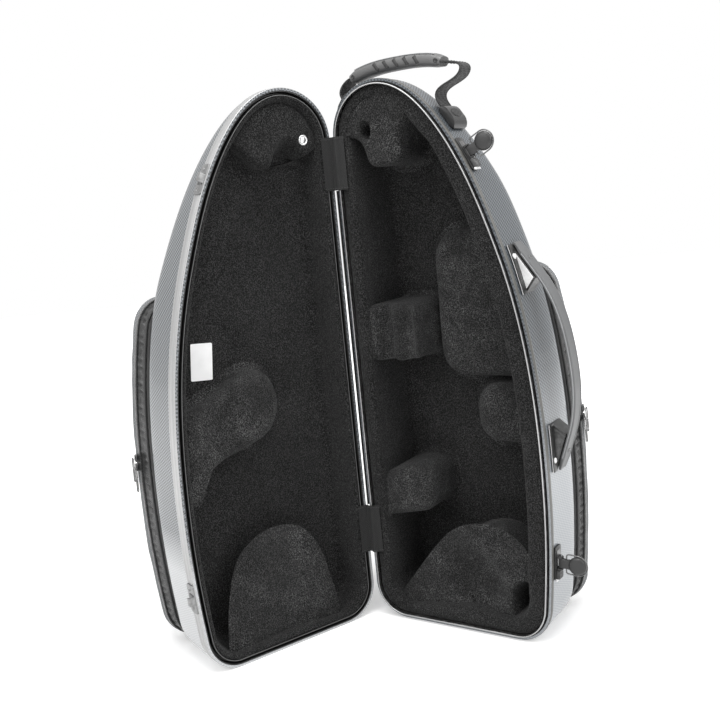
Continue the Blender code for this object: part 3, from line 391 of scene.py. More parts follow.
def pathFrames(points, across, closed=False):
    # For each point: the way along, the side way and the way out of the path's plane
    frames = []
    last = len(points) - 1
    for k in range(len(points)):
        before = k - 1 if closed else max(k - 1, 0)
        after = (k + 1) % len(points) if closed else min(k + 1, last)
        way = (points[after] - points[before]).normalized()
        side = (across - way * across.dot(way)).normalized()
        frames.append((way, side, way.cross(side)))
    return frames


def offsetPath(path, frames, side, out):
    return [p + f[1] * side + f[2] * out for p, f in zip(path, frames)]


def runSection(points, section, across, closed=False, scale=None):
    # A closed section of (side, out) offsets, run along a path
    rings = []
    for k, (point, (_, side, out)) in enumerate(zip(points, pathFrames(points, across, closed))):
        size = scale(k / (len(points) - 1)) if scale else (1, 1)
        rings.append([point + side * a * size[0] + out * b * size[1] for a, b in section])
    return loft(rings, closedProfile=closed)


def circle(radius, sides=8):
    return arcPoints((0, 0), radius, 0, 2 * math.pi, sides)[:-1]


def roughen(piece, amount, size, seed):
    # Small even unevenness of a soft surface, along its normals, in millimetres
    shift = Vector((seed * 7.1, seed * 3.7, seed * 1.9))
    moved = []
    for co, normal in [(v.co.copy(), v.normal.copy()) for v in piece.data.vertices]:
        moved.extend(co + normal * noise.noise(co / (size * mm) + shift) * (amount * mm))
    piece.data.vertices.foreach_set("co", moved)
    piece.data.update()


def finish(piece, body, slot, *replaced):
    if replaced:
        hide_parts(*replaced)
    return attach(piece, body)


def addPiece(name, bm, finishName, body, slot, *replaced, sharpAngle=40, rough=(), padded=False):
    piece = meshObject(name, bm, finishName, sharpAngle)
    for amount, size, seed in rough:
        roughen(piece, amount, size, seed)
    return finish(piece, body, slot, *replaced)


# Shader nodes
def setSockets(tree, node, values):
    for key, value in values.items():
        if isinstance(value, bpy.types.NodeSocket):
            tree.links.new(value, node.inputs[key])
        else:
            node.inputs[key].default_value = value


def addNode(tree, kind, values=None, **settings):
    made = tree.nodes.new(kind if "Node" in kind else "ShaderNode" + kind)
    for name, value in settings.items():
        setattr(made, name, value)
    setSockets(tree, made, values or {})
    return made


def calc(tree, operation, *values, clamp=False):
    return addNode(tree, "Math", dict(enumerate(values)), operation=operation, use_clamp=clamp).outputs[0]


def times(tree, a, b):
    return calc(tree, "MULTIPLY", a, b)


def noiseAt(tree, vector, scale, detail, roughness=0.5):
    values = {"Vector": vector, "Scale": scale, "Detail": detail, "Roughness": roughness}
    return addNode(tree, "TexNoise", values).outputs["Fac"]


def spread(tree, value, fromLow, fromHigh, toLow=0.0, toHigh=1.0):
    values = {"Value": value, "From Min": fromLow, "From Max": fromHigh, "To Min": toLow, "To Max": toHigh}
    return addNode(tree, "MapRange", values).outputs["Result"]


def blendColours(tree, share, first, second):
    colours = [c if isinstance(c, bpy.types.NodeSocket) else (*c, 1) for c in (first, second)]
    return addNode(tree, "Mix", {0: share, 6: colours[0], 7: colours[1]}, data_type="RGBA").outputs[2]


def shaded(colour, factor):
    return [c * factor for c in colour]


def makeGroup(name, build, outputs, **inputs):
    # The build function takes the tree and its inputs and gives one socket for each output
    tree = bpy.data.node_groups.new(name, "ShaderNodeTree")
    tree.interface.new_socket("Vector", in_out="INPUT", socket_type="NodeSocketVector")
    for label, value in inputs.items():
        tree.interface.new_socket(label, in_out="INPUT", socket_type="NodeSocketFloat").default_value = value
    for label in outputs:
        tree.interface.new_socket(label, in_out="OUTPUT", socket_type="NodeSocketFloat")
    made = build(tree, addNode(tree, "NodeGroupInput").outputs)
    addNode(tree, "NodeGroupOutput", dict(zip(outputs, made)))
    return tree


def weave(tree, given):
    # Threads that pass over and under; Period 2 is a plain weave, 4 is a twill
    uneven = noiseAt(tree, given["Vector"], 60.0, 2.0)
    wobble = times(tree, calc(tree, "SUBTRACT", uneven, 0.5), given["Slub"])
    parts = addNode(tree, "SeparateXYZ", {"Vector": given["Vector"]}).outputs
    x, y = [calc(tree, "MULTIPLY_ADD", parts[axis], given["Threads"], wobble) for axis in "XY"]
    cell = calc(tree, "ADD", calc(tree, "FLOOR", x), calc(tree, "FLOOR", y))
    turn = calc(tree, "FLOORED_MODULO", cell, given["Period"])
    warp = calc(tree, "LESS_THAN", turn, times(tree, given["Period"], 0.5))
    across, along = [calc(tree, "ABSOLUTE", calc(tree, "SINE", times(tree, way, math.pi))) for way in (x, y)]
    weft = times(tree, along, calc(tree, "SUBTRACT", 1.0, warp))
    return calc(tree, "MULTIPLY_ADD", across, warp, weft), warp


def grain(tree, given):
    # Fine moulded grain with slow patches
    fine = noiseAt(tree, given["Vector"], given["Grain"], 3.0)
    pits = addNode(tree, "TexVoronoi", {"Vector": given["Vector"], "Scale": given["Grain"]})
    height = calc(tree, "MULTIPLY_ADD", fine, 0.6, times(tree, pits.outputs["Distance"], 0.4))
    return height, noiseAt(tree, given["Vector"], given["Patches"], 4.0)


def pile(tree, given):
    # Short fibres that lie in patches
    lean = addNode(tree, "Mapping", {"Vector": given["Vector"], "Scale": (1.0, 1.0, 0.8)}).outputs[0]
    fibres = noiseAt(tree, lean, given["Fibres"], 2.0, 0.6)
    tufts = addNode(tree, "TexVoronoi", {"Vector": lean, "Scale": times(tree, given["Fibres"], 0.5)})
    height = calc(tree, "SUBTRACT", fibres, times(tree, tufts.outputs["Distance"], 0.5))
    slow = noiseAt(tree, given["Vector"], given["Patches"], 5.0)
    return height, spread(tree, fibres, 0.46, 0.68), spread(tree, slow, 0.35, 0.65)


def wear(tree, given):
    # Where edges are rubbed, broken up by noise
    edge = spread(tree, given["Pointiness"], 0.52, 0.6)
    broken = spread(tree, noiseAt(tree, given["Vector"], 220.0, 5.0), 0.42, 0.62)
    return [calc(tree, "MULTIPLY", times(tree, edge, broken), given["Amount"], clamp=True)]


groups = {
    "weave": makeGroup("threadWeave", weave, ["Height", "Warp"], Threads=500, Period=2, Slub=0.1),
    "grain": makeGroup("fineGrain", grain, ["Height", "Patch"], Grain=1500, Patches=25),
    "pile": makeGroup("shortPile", pile, ["Height", "Speck", "Patch"], Fibres=900, Patches=14),
    "wear": makeGroup("rubbedEdges", wear, ["Mask"], Pointiness=0.5, Amount=1.0),
}


def useGroup(tree, name, vector, **values):
    return addNode(tree, "Group", {"Vector": vector, **values}, node_tree=groups[name]).outputs


def newMaterial(name):
    made = bpy.data.materials.new(name)
    made.use_nodes = True
    return made, made.node_tree, addNode(made.node_tree, "TexCoord").outputs


def complete(made, height, strength, distance, values):
    # Puts values and a bump on the material's own shader
    tree = made.node_tree
    bump = addNode(tree, "Bump", {"Height": height, "Strength": strength, "Distance": distance})
    setSockets(tree, tree.nodes["Principled BSDF"], {"Normal": bump.outputs[0], **values})
    return made


def mouldedMaterial(name, colour, worn, roughness, metallic, grainScale, depth, rubbed):
    # Plastic or plated metal: grain, patches of gloss and rubbed edges
    made, tree, where = newMaterial(name)
    marks = useGroup(tree, "grain", where["Object"], Grain=grainScale)
    point = addNode(tree, "NewGeometry").outputs["Pointiness"]
    rub = useGroup(tree, "wear", where["Object"], Pointiness=point, Amount=rubbed)
    tone = blendColours(tree, spread(tree, marks["Patch"], 0.3, 0.7), colour, shaded(colour, 1.18))
    return complete(made, marks["Height"], depth * 4, 0.0003, {
        "Base Color": blendColours(tree, rub["Mask"], tone, worn),
        "Roughness": spread(tree, marks["Patch"], 0.3, 0.7, roughness * 0.85, roughness * 1.2),
        "Metallic": metallic,
    })


def wovenMaterial(name, warp, weft, threads, period, roughness, sheen, depth, coordinates="UV"):
    made, tree, where = newMaterial(name)
    cloth = useGroup(tree, "weave", where[coordinates], Threads=threads, Period=period)
    tone = blendColours(tree, cloth["Warp"], weft, warp)
    shade = spread(tree, cloth["Height"], 0.0, 0.8, 0.35, 1.0)
    dark = blendColours(tree, shade, shaded(weft, 0.35), tone)
    faded = spread(tree, noiseAt(tree, where["Object"], 18.0, 4.0), 0.35, 0.7, 0.0, 0.35)
    return complete(made, cloth["Height"], depth, 0.0004, {
        "Base Color": blendColours(tree, faded, dark, shaded(warp, 1.5)),
        "Roughness": spread(tree, cloth["Height"], 0.0, 1.0, min(1.0, roughness * 1.15), roughness * 0.85),
        "Sheen Weight": sheen,
        "Sheen Roughness": 0.4,
    })


def shellMaterial(name, dark, light, foot, turnFrom, turnTo):
    # Fine weave under a clear coat; the weave is paler towards the foot, a painted reflection
    made, tree, where = newMaterial(name)
    tows = addNode(tree, "Mapping", {"Vector": where["UV"], "Scale": (1.0, 0.7, 1.0)})
    cloth = useGroup(tree, "weave", tows.outputs[0], Threads=460.0, Period=2.0, Slub=0.1)
    height = addNode(tree, "SeparateXYZ", {"Vector": where["Object"]}).outputs["Z"]
    # low: the share of the painted reflection, full near the foot and none higher up; it also raises the coat
    # weight there
    low = spread(tree, height, turnFrom, turnTo, 1.0, 0.0)
    deep = blendColours(tree, cloth["Warp"], dark, light)
    # pale: the colour of the painted reflection at the foot
    pale = blendColours(tree, cloth["Warp"], shaded(foot, 0.86), foot)
    marks = useGroup(tree, "grain", where["Object"], Grain=500.0, Patches=9.0)
    gloss = spread(tree, marks["Patch"], 0.3, 0.7, 0.28, 0.36)
    return complete(made, cloth["Height"], 0.05, 0.0002, {
        "Base Color": blendColours(tree, low, deep, pale),
        "Roughness": spread(tree, cloth["Warp"], 0.0, 1.0, 0.46, 0.34),
        "Metallic": 0.2,
        "Coat Weight": calc(tree, "MULTIPLY_ADD", low, 0.3, gloss),
        "Coat Roughness": 0.06,
    })


def bandMaterial(name, colour, groove, metallic):
    # Moulded edge: drawn lines along it and a slight cross hatching
    made, tree, where = newMaterial(name)
    parts = addNode(tree, "SeparateXYZ", {"Vector": where["UV"]}).outputs
    slant = calc(tree, "ADD", parts["X"], parts["Y"])
    ribs = spread(tree, calc(tree, "SINE", times(tree, slant, 2400.0)), -1.0, 1.0, 0.35, 0.65)
    drawn = calc(tree, "SINE", times(tree, parts["Y"], 3100.0))
    marks = useGroup(tree, "grain", where["Object"], Grain=900.0, Patches=12.0)
    tone = blendColours(tree, calc(tree, "MULTIPLY_ADD", drawn, 0.35, ribs), groove, colour)
    patch = spread(tree, marks["Patch"], 0.35, 0.65, 0.0, 0.5)
    return complete(made, marks["Height"], 0.1, 0.0002, {
        "Base Color": blendColours(tree, patch, tone, shaded(colour, 0.75)),
        "Metallic": metallic,
        "Roughness": 0.36,
        "Coat Weight": 0.15,
        "Coat Roughness": 0.15,
    })


def plushMaterial(name, dark, light, speck, brushed):
    made, tree, where = newMaterial(name)
    fur = useGroup(tree, "pile", where["Object"], Fibres=950.0, Patches=16.0)
    ground = blendColours(tree, fur["Patch"], dark, light)
    slow = noiseAt(tree, where["Object"], 24.0, 6.0, 0.7)
    share = times(tree, fur["Speck"], spread(tree, slow, 0.45, 0.62, brushed, 1.0))
    return complete(made, fur["Height"], 0.9, 0.0012, {
        "Base Color": blendColours(tree, share, ground, speck),
        "Roughness": spread(tree, fur["Height"], 0.0, 1.0, 1.0, 0.85),
        "Sheen Weight": 0.06,
        "Sheen Roughness": 0.5,
        "Specular IOR Level": 0.1,
    })


def grey(value, tint=0.0):
    return (value * (1 - tint), value, value * (1 + tint))


# Each half: weave dark, weave light, the painted reflection's colour at the foot, and the heights over which
# that reflection fades out. The base's weave tones are darker than the lid's, though both are one shell:
# painted shade on the base
shellTones = {
    "lid": [grey(0.07, 0.05), grey(0.22, 0.06), grey(0.5, 0.02), 0.12, 0.17],
    "base": [grey(0.04, 0.1), grey(0.13, 0.12), grey(0.3, 0.06), 0.2, 0.32],
}
finishes = {
    "lidShell": shellMaterial("lidShellCoat", *shellTones["lid"]),
    "baseShell": shellMaterial("baseShellCoat", *shellTones["base"]),
    "lidBand": bandMaterial("silverEdge", grey(0.5), grey(0.3), 0.5),
    "baseBand": bandMaterial("warmEdge", (0.12, 0.117, 0.11), (0.06, 0.06, 0.055), 0.1),
    "plush": plushMaterial("nearBlackPlush", grey(0.006), grey(0.011), grey(0.075), 0.75),
    # A lighter copy of the same plush for the raised foam pads: painted light on the pads, with a brushed
    # look to their pile
    "blockPlush": plushMaterial("blockPlush", grey(0.008), grey(0.015), grey(0.15), 0.4),
}
mouldings = {  # name, tone, worn tone, roughness, metal, grain, depth, rubbed, tint
    "tongue": ("drawnMetal", 0.36, 0.6, 0.3, 1.0, 2400.0, 0.03, 0.3),
    "rubber": ("sealRubber", 0.01, 0.04, 0.55, 0.0, 2200.0, 0.08, 0.4),
    "rim": ("rimPlastic", 0.01, 0.05, 0.38, 0.0, 1500.0, 0.04, 0.5),
    # The grey of the bead on the lid rim's lip is a painted highlight
    "rimLip": ("greyLip", 0.09, 0.2, 0.42, 0.0, 1500.0, 0.04, 0.5),
    "black": ("blackMoulding", 0.01, 0.05, 0.32, 0.0, 1800.0, 0.05, 0.6),
    "darkGrey": ("darkGreyMoulding", 0.03, 0.12, 0.4, 0.0, 1600.0, 0.06, 0.6),
    "lever": ("leverMoulding", 0.018, 0.09, 0.36, 0.0, 1600.0, 0.06, 0.6),
    "grey": ("greyMoulding", 0.07, 0.2, 0.42, 0.0, 1400.0, 0.06, 0.6),
    "grip": ("gripRubber", 0.1, 0.24, 0.5, 0.0, 1200.0, 0.09, 0.5),
    "strap": ("strapPlastic", 0.1, 0.22, 0.42, 0.0, 1300.0, 0.07, 0.5, 0.02),
    # The lighter edge finish is a painted highlight along the strap's and grip's edges
    "strapEdge": ("strapEdge", 0.24, 0.4, 0.36, 0.0, 1300.0, 0.05, 0.4, 0.02),
    "pale": ("paleMoulding", 0.7, 0.85, 0.3, 0.0, 1400.0, 0.04, 0.4),
    "bright": ("brightPlate", 0.72, 0.9, 0.28, 1.0, 1800.0, 0.04, 0.4),
    "keeper": ("greyPlate", 0.2, 0.5, 0.36, 0.8, 1800.0, 0.05, 0.6),
    "wire": ("darkWire", 0.1, 0.5, 0.28, 0.9, 2400.0, 0.03, 0.5),
    "metal": ("darkPlate", 0.06, 0.3, 0.35, 0.9, 2000.0, 0.05, 0.8),
    "coil": ("zipCoil", 0.15, 0.35, 0.35, 0.0, 3000.0, 0.04, 0.5),
    "label": ("blankPaper", 0.85, 0.9, 0.7, 0.0, 900.0, 0.1, 0.2),
}
for key, (name, tone, worn, *values) in mouldings.items():
    tint = values.pop() if len(values) > 5 else 0.0
    finishes[key] = mouldedMaterial(name, grey(tone, tint), grey(worn), *values)
cloths = {  # name, warp, weft, tint, threads, period, roughness, sheen, depth
    "webbing": ("ribbedWebbing", 0.035, 0.016, 0.0, 420.0, 4.0, 0.8, 0.1, 0.9),
    "tape": ("hingeTape", 0.014, 0.007, 0.0, 620.0, 2.0, 0.85, 0.04, 0.8),
    "thread": ("sewingThread", 0.05, 0.03, 0.0, 3000.0, 2.0, 0.8, 0.1, 0.4, "Object"),
    "nylon": ("packNylon", 0.24, 0.13, 0.03, 520.0, 2.0, 0.72, 0.1, 0.7),
    "gusset": ("coatedNylon", 0.05, 0.025, 0.0, 900.0, 2.0, 0.26, 0.0, 0.2),
    "piping": ("pipingCord", 0.035, 0.02, 0.0, 1500.0, 4.0, 0.6, 0.1, 0.5),
    "zipTape": ("zipTape", 0.09, 0.05, 0.0, 900.0, 4.0, 0.75, 0.1, 0.6),
}
for key, (name, warp, weft, tint, *values) in cloths.items():
    finishes[key] = wovenMaterial(name, grey(warp, tint), grey(weft, tint), *values)
print("materials made:", len(finishes))


# What repeats along a path: each copy stands on the path's outward way
def repeatTree():
    tree = bpy.data.node_groups.new("repeatAlongPath", "GeometryNodeTree")
    ids = {}
    inputs = {"Geometry": "Geometry", "Shape": "Object", "Spacing": "Float", "Size": "Float",
              "Jitter": "Float", "Seed": "Int", "Finish": "Material"}
    for label, kind in inputs.items():
        socket = tree.interface.new_socket(label, in_out="INPUT", socket_type="NodeSocket" + kind)
        ids[label] = socket.identifier
    tree.interface.new_socket("Geometry", in_out="OUTPUT", socket_type="NodeSocketGeometry")

    def add(kind, values=None, **settings):
        return addNode(tree, kind, values, **settings).outputs

    given = add("NodeGroupInput")
    curve = add("GeometryNodeMeshToCurve", {"Mesh": given["Geometry"]})[0]
    even = add("GeometryNodeResampleCurve", {"Curve": curve, "Length": given["Spacing"]}, mode="LENGTH")[0]
    named = add("GeometryNodeInputNamedAttribute", {"Name": "outward"}, data_type="FLOAT_VECTOR")
    tangent = add("GeometryNodeInputTangent")[0]
    align = "FunctionNodeAlignRotationToVector"
    stand = add(align, {"Vector": named["Attribute"]}, axis="Z")[0]
    lie = add(align, {"Rotation": stand, "Vector": tangent}, axis="X", pivot_axis="Z")[0]
    shape = add("GeometryNodeObjectInfo", {"Object": given["Shape"]})["Geometry"]
    lowest = calc(tree, "SUBTRACT", 1.0, given["Jitter"])
    highest = calc(tree, "ADD", 1.0, given["Jitter"])
    limits = {2: lowest, 3: highest, "Seed": given["Seed"]}
    drawn = add("FunctionNodeRandomValue", limits, data_type="FLOAT")[1]
    copies = add("GeometryNodeInstanceOnPoints", {
        "Points": even, "Instance": shape, "Rotation": lie, "Scale": times(tree, drawn, given["Size"]),
    })[0]
    real = add("GeometryNodeRealizeInstances", {"Geometry": copies})[0]
    painted = add("GeometryNodeSetMaterial", {"Geometry": real, "Material": given["Finish"]})[0]
    addNode(tree, "NodeGroupOutput", {"Geometry": painted})
    return tree, ids


repeatNodes, repeatIds = repeatTree()


def repeatAlong(name, points, outs, shape, spacing, finishName, size=1.0, jitter=0.0):
    path = bpy.data.meshes.new(name + "Path")
    path.from_pydata([tuple(p) for p in points], [(k, k + 1) for k in range(len(points) - 1)], [])
    ways = path.attributes.new("outward", "FLOAT_VECTOR", "POINT")
    ways.data.foreach_set("vector", [c for way in outs for c in way])
    carrier = linked(name + "Path", path)
    maker = carrier.modifiers.new("repeat", "NODES")
    maker.node_group = repeatNodes
    values = {"Shape": shape, "Spacing": spacing, "Size": size, "Jitter": jitter, "Seed": 7,
              "Finish": finishes[finishName]}
    for label, value in values.items():
        maker[repeatIds[label]] = value
    bpy.context.view_layer.update()
    graph = bpy.context.evaluated_depsgraph_get()
    mesh = bpy.data.meshes.new_from_object(carrier.evaluated_get(graph), depsgraph=graph)
    carrier.modifiers.remove(maker)
    bpy.data.objects.remove(carrier)
    mesh.name = name
    smoothed(mesh)
    return linked(name, mesh)


def shapeObject(name, bm):
    made = meshObject(name, bm, "black")
    made.hide_render = True
    made.hide_viewport = True
    return made


def screwShape(name, radius):
    # A dished head with a raised cross in it
    profile = [(1, -0.4), (1, 0.35), (0.86, 0.8), (0.5, 0.95), (0.42, 0.6), (0.04, 0.55)]
    parts = [turned(Matrix(), profile, 24, radius * mm)]
    for k in range(2):
        turn = Matrix.Rotation(k * quarter, 4, "Z")
        parts.append(box(turn, (-radius * 0.5, -0.16, 0.5), (radius * 0.5, 0.16, 0.98)))
    return shapeObject(name, join(parts))


lyingDown = Matrix.Rotation(quarter, 4, "Y") @ Matrix.Translation((0, 0, -1.3 * mm))
stitchProfile = [(0.12, 0), (0.3, 0.35), (0.34, 1.3), (0.3, 2.25), (0.12, 2.6)]
slanting = Matrix.Rotation(math.radians(32), 4, "Z")
shapes = {
    "stitch": shapeObject("stitchShape", turned(lyingDown, stitchProfile, 6)),
    "tooth": shapeObject("toothShape", box(Matrix(), (-0.42, -2.1, -0.3), (0.42, 2.1, 0.75), 0.18, 1)),
    "slot": shapeObject("slotShape", box(slanting, (-2, -5, -2.4), (2, 5, 0.4), 0.6)),
    "screw": screwShape("smallScrewShape", 2.1),
    "rib": shapeObject("ribShape", box(Matrix(), (-0.35, -3.4, -0.4), (0.35, 3.4, 0.35), 0.15, 1)),
}


def stitched(name, path, frames, side, out, facing, pitch=3.4):
    # A row of stitches beside a path, on the face that looks outward
    points = offsetPath(path, frames, side, out)
    outs = [f[2] * facing for f in frames]
    return repeatAlong(name, points, outs, shapes["stitch"], pitch * mm, "thread", jitter=0.06)


# The two moulded shells
shellSizes = inMm({"wall": 2.6, "mouth": 0.1, "backRadius": 30})
shellSizes |= {"walls": (0, 0.04, 0.2, 0.5, 0.8), "round": 9, "back": 9}  # where rings lie, and how many


def closing(half, loop, depth, steps):
    # Rings that shrink towards the middle of a back or a floor
    middle = Vector(case["middle"])
    rings = []
    for step in range(1, steps + 1):
        rings.append(ringOf(half, [p.lerp(middle, step / (steps + 1)) for p in loop], depth))
    return rings


def skinRings(half, away, start):
    radius, rings = shellSizes["backRadius"], []
    loop = insetLoop(outline, away)
    for share in shellSizes["walls"]:
        rings.append(ringOf(half, loop, lambda z: start + (backDepth(half, z) - radius - start) * share))
    for across, up in quarterTurn(shellSizes["round"]):
        edge = insetLoop(outline, away + (radius - away) * across)
        shallow = away + (radius - away) * up
        rings.append(ringOf(half, edge, lambda z: backDepth(half, z) - shallow))
    return rings + closing(half, edge, lambda z: backDepth(half, z) - away, shellSizes["back"])


def makeShell(half):
    name = half["name"]
    mouth, backs = shellSizes["mouth"], shellSizes["back"]
    rings = skinRings(half, 0, mouth)[::-1] + skinRings(half, shellSizes["wall"], mouth)
    flat = {*range(backs), *range(len(rings) - backs - 1, len(rings))}
    addPiece(name + "ShellSkin", loft(rings, flat=flat), name + "Shell", name, "shell", name + "_shell")


bandSizes = {  # (depth, how far out), on the wall's outside
    "lid": [(0.3, 0.1), (0.9, 0.65), (3.4, 0.7), (3.9, 0.25), (4.5, 0.25), (5.0, 0.8), (13.2, 0.95),
            (13.7, 0.3), (14.3, 0.3), (14.8, 0.7), (17.6, 0.5), (18.6, 0.05)],
    "base": [(0.3, 0.1), (0.8, 0.5), (1.9, 0.55), (2.3, 0.25), (2.7, 0.55), (6.0, 0.55), (6.8, 0.05)],
    "sunk": 0.5,
}
rimSizes = inMm({
    "seal": (2.9, 4.0, 1.5, 13),  # outer inset, inner inset, start depth, end depth
    "tongue": (4.3, 5.9, -4.5, 13),
    "line": (0.12, -3.7, -0.9),  # half its width, start depth, end depth
    "channel": (2.9, 13),  # outer inset, depth
    "groove": (4.0, 7.32, 9.5),
    "lip": (8.42, 0.5),
    # bead: how far the painted highlight bead stays in from the lip's sides and how far it reaches past its
    # face
    "bead": (0.1, 0.25),
    "gasket": (4.3, 7.0, 7.0, 9.2),
})


def addRim(name, half, profile, radius, finishName, slot, *replaced, sharpAngle=40):
    # A closed section of (inset, depth) corners, run round the mouth
    corners = rounded(profile, radius * mm, 4) if radius else [Vector(p) for p in profile]
    bm = loft([ringOf(half, insetLoop(outline, p.x), p.y) for p in corners], closedProfile=True)
    addPiece(name, bm, finishName, half["name"], slot, *replaced, sharpAngle=sharpAngle)


def band(low, high, start, end):
    return [(low, start), (high, start), (high, end), (low, end)]


def makeMouthBand(half):
    name = half["name"]
    face = [(-out, depth) for depth, out in bandSizes[name]]
    profile = face + [(bandSizes["sunk"], depth) for _, depth in (face[-1], face[0])]
    addRim(name + "MouthBand", half, inMm(profile), 0, name + "Band", "shell", sharpAngle=60)


def makeRims():
    addRim("baseSealBead", base, band(*rimSizes["seal"]), 0.4, "rubber", "rubber", "base_seal")
    addRim("baseTongueRail", base, band(*rimSizes["tongue"]), 0.6, "tongue", "tongue_metal", "base_tongue")
    thin, start, end = rimSizes["line"]
    for label, face in zip(("Outer", "Inner"), rimSizes["tongue"]):
        line = band(face - thin, face + thin, start, end)
        addRim(f"tongue{label}Line", base, line, 0, "metal", "tongue_metal")
    (outer, deep), (near, far, floor), (lip, face) = rimSizes["channel"], rimSizes["groove"], rimSizes["lip"]
    profile = [(outer, face), (near, face), (near, floor), (far, floor), (far, face), (lip, face),
               (lip, deep), (outer, deep)]
    addRim("lidRimChannel", lid, profile, 0.35, "rim", "black_plastic", "lid_rim")
    # A grey bead on the edge of the black rim's inner lip: a painted highlight
    inside, before = rimSizes["bead"]
    bead = band(far + inside, lip - inside, face - before, face + 2 * before)
    addRim("lidRimLip", lid, bead, 0.3, "rimLip", "black_plastic")
    addRim("lidGasketCord", lid, band(*rimSizes["gasket"]), 0.9, "rubber", "rubber", "lid_gasket")


for half in halves.values():
    makeShell(half)
    makeMouthBand(half)
makeRims()
print("shells and rims made")

# Plush-covered foam trays
linerSizes = inMm({
    "base": {"floor": 79, "neckFloor": 38, "edge": 6.2, "hinge": 22, "free": 30, "top": 20, "foot": 26},
    "lid": {"floor": 46, "neckFloor": 24, "edge": 8.72, "hinge": 14, "free": 15, "top": 13, "foot": 16},
    "face": 1,
    "draft": 4,
    "roll": 5,  # rounding of the border's inner edge
    "cove": 11,  # rounding between wall and floor
    "outside": 3.1,
    "start": 13.3,
    "lead": [(3, 0), (1, 0.3), (0.3, 1.1)],  # (past the face, past the edge), over the outer edge
    "borderStart": 2.2,
    "crown": 0.1,
})
linerSizes |= {"borderRings": (0.25, 0.6, 1), "turnRings": 6, "wallRings": 9, "floorRings": 18}
linerNodes = {"base": ["base_liner"], "lid": ["lid_liner", "lid_border"]}


def floorDepth(half, z):
    sizes = linerSizes[half["name"]]
    return depthAt(half, z, sizes["floor"], sizes["neckFloor"])


def middleFor(point):
    low = Vector((case["width"] / 2, 0.375 * case["width"]))
    high = Vector((case["neckCentre"], case["length"] - 1.25 * case["neckDrop"]))
    height = min(max(point.y, low.y), high.y)
    return low.lerp(high, (height - low.y) / (high.y - low.y))


def cavityLoop(half, extra):
    border = linerSizes[half["name"]]
    made = []
    for point in outline:
        way = (middleFor(point) - point).normalized()
        across = border["hinge"] if way.x > 0 else border["free"]
        along = border["foot"] if way.y > 0 else border["top"]
        made.append(point + way * (across * way.x**2 + along * way.y**2 + extra))
    return made


def makeLiner(half):
    name, edge = half["name"], linerSizes[half["name"]]["edge"]
    face, roll, cove, draft = [linerSizes[key] for key in ("face", "roll", "cove", "draft")]
    rings = skinRings(half, linerSizes["outside"], linerSizes["start"])[::-1]
    rings.append(ringOf(half, insetLoop(outline, edge), linerSizes["start"]))
    for past, further in linerSizes["lead"]:
        rings.append(ringOf(half, insetLoop(outline, edge + further), face + past))
    outer, inner = insetLoop(outline, edge + linerSizes["borderStart"]), cavityLoop(half, -roll)
    crown = linerSizes["crown"]
    for share in linerSizes["borderRings"]:
        rings.append(ringOf(half, [a.lerp(b, share) for a, b in zip(outer, inner)], face + crown))
        crown = 0
    for across, up in quarterTurn(linerSizes["turnRings"], 1):
        rings.append(ringOf(half, cavityLoop(half, -roll * up), face + roll * across))
    start = face + roll
    for step in range(1, linerSizes["wallRings"] + 1):
        share = step / linerSizes["wallRings"]
        loop = cavityLoop(half, draft * share)
        rings.append(ringOf(half, loop, lambda z: start + (floorDepth(half, z) - cove - start) * share))
    for across, up in quarterTurn(linerSizes["turnRings"], 1):
        loop = cavityLoop(half, draft + cove * across)
        rings.append(ringOf(half, loop, lambda z: floorDepth(half, z) - cove * up))
    rings += closing(half, loop, lambda z: floorDepth(half, z), linerSizes["floorRings"])
    addPiece(name + "PlushTray", loft(rings), "plush", name, "plush", *linerNodes[name], sharpAngle=60,
             rough=[(0.35, 14, 1)], padded=True)


for half in halves.values():
    makeLiner(half)

# Foam blocks: corners in (u, z) and the depth of the top in millimetres, and pressed hollows
blockSizes = {
    "base": {
        "neck_block": {
            "corners": [(0, 590), (36, 588), (46, 552), (92, 556), (88, 580), (104, 612), (120, 650),
                        (0, 650)],
            "top": 2, "round": 11, "edge": 8, "cove": 10, "hollows": [((45, 595, 26), (8, 12))],
        },
        "step_block": {
            "corners": [(92, 300), (260, 300), (260, 476), (92, 472)],
            "top": 48, "round": 34, "edge": 15, "cove": 13,
        },
        "upper_pad": {
            "corners": [(0, 324), (86, 326), (86, 393), (0, 393)],
            "top": 8, "round": 14, "edge": 11,
            "hollows": [((44, 358, 11), (13, 70)), ((72, 358, 11), (12, 70))],
        },
        "lower_pad": {
            "corners": [(0, 122), (86, 140), (88, 190), (58, 196), (0, 176)],
            "top": 9, "round": 14, "edge": 12,
        },
        "side_pad": {
            "corners": [(138, 222), (250, 222), (250, 293), (138, 293)],
            "top": 40, "round": 30, "edge": 18, "cove": 16,
        },
        "bell_cradle": {
            "corners": [(30, 0), (98, 86), (126, 113), (168, 118), (196, 98), (206, 60), (206, 0)],
            "top": 12, "round": 26, "edge": 16, "cove": 4,
            "hollows": [((140, 56, 14), (42, 46)), ((200, 38, 50), (16, 30))],
        },
    },
    "lid": {
        "lid_neck_pad": {
            "corners": [(0, 588), (44, 568), (94, 562), (130, 600), (130, 650), (0, 650)],
            "top": 8, "round": 14, "edge": 9, "cove": 5, "hollows": [((55, 554, 34), (26, 44))],
            "cloth": "plush",
        },
        "lid_arm_pad": {
            "corners": [(250, 318), (205, 300), (132, 338), (104, 330), (94, 288), (112, 256), (150, 246),
                        (184, 238), (222, 204), (250, 190)],
            "top": 14, "round": 24, "edge": 20, "cove": 10,
        },
        "lid_bell_pad": {
            "corners": [(60, 0), (82, 96), (100, 128), (136, 134), (168, 116), (182, 70), (190, 0)],
            "top": 12, "round": 26, "edge": 20, "cove": 8,
        },
    },
    "points": 150,
    "rings": 22,
    "margin": 12 * mm,
    "smoothing": 6,
    "under": 5 * mm,
}


def insideLoop(point, loop):
    inside = False
    for k, a in enumerate(loop):
        b = loop[k - 1]
        if (a.y > point.y) != (b.y > point.y) and point.x < (b.x - a.x) * (point.y - a.y) / (b.y - a.y) + a.x:
            inside = not inside
    return inside


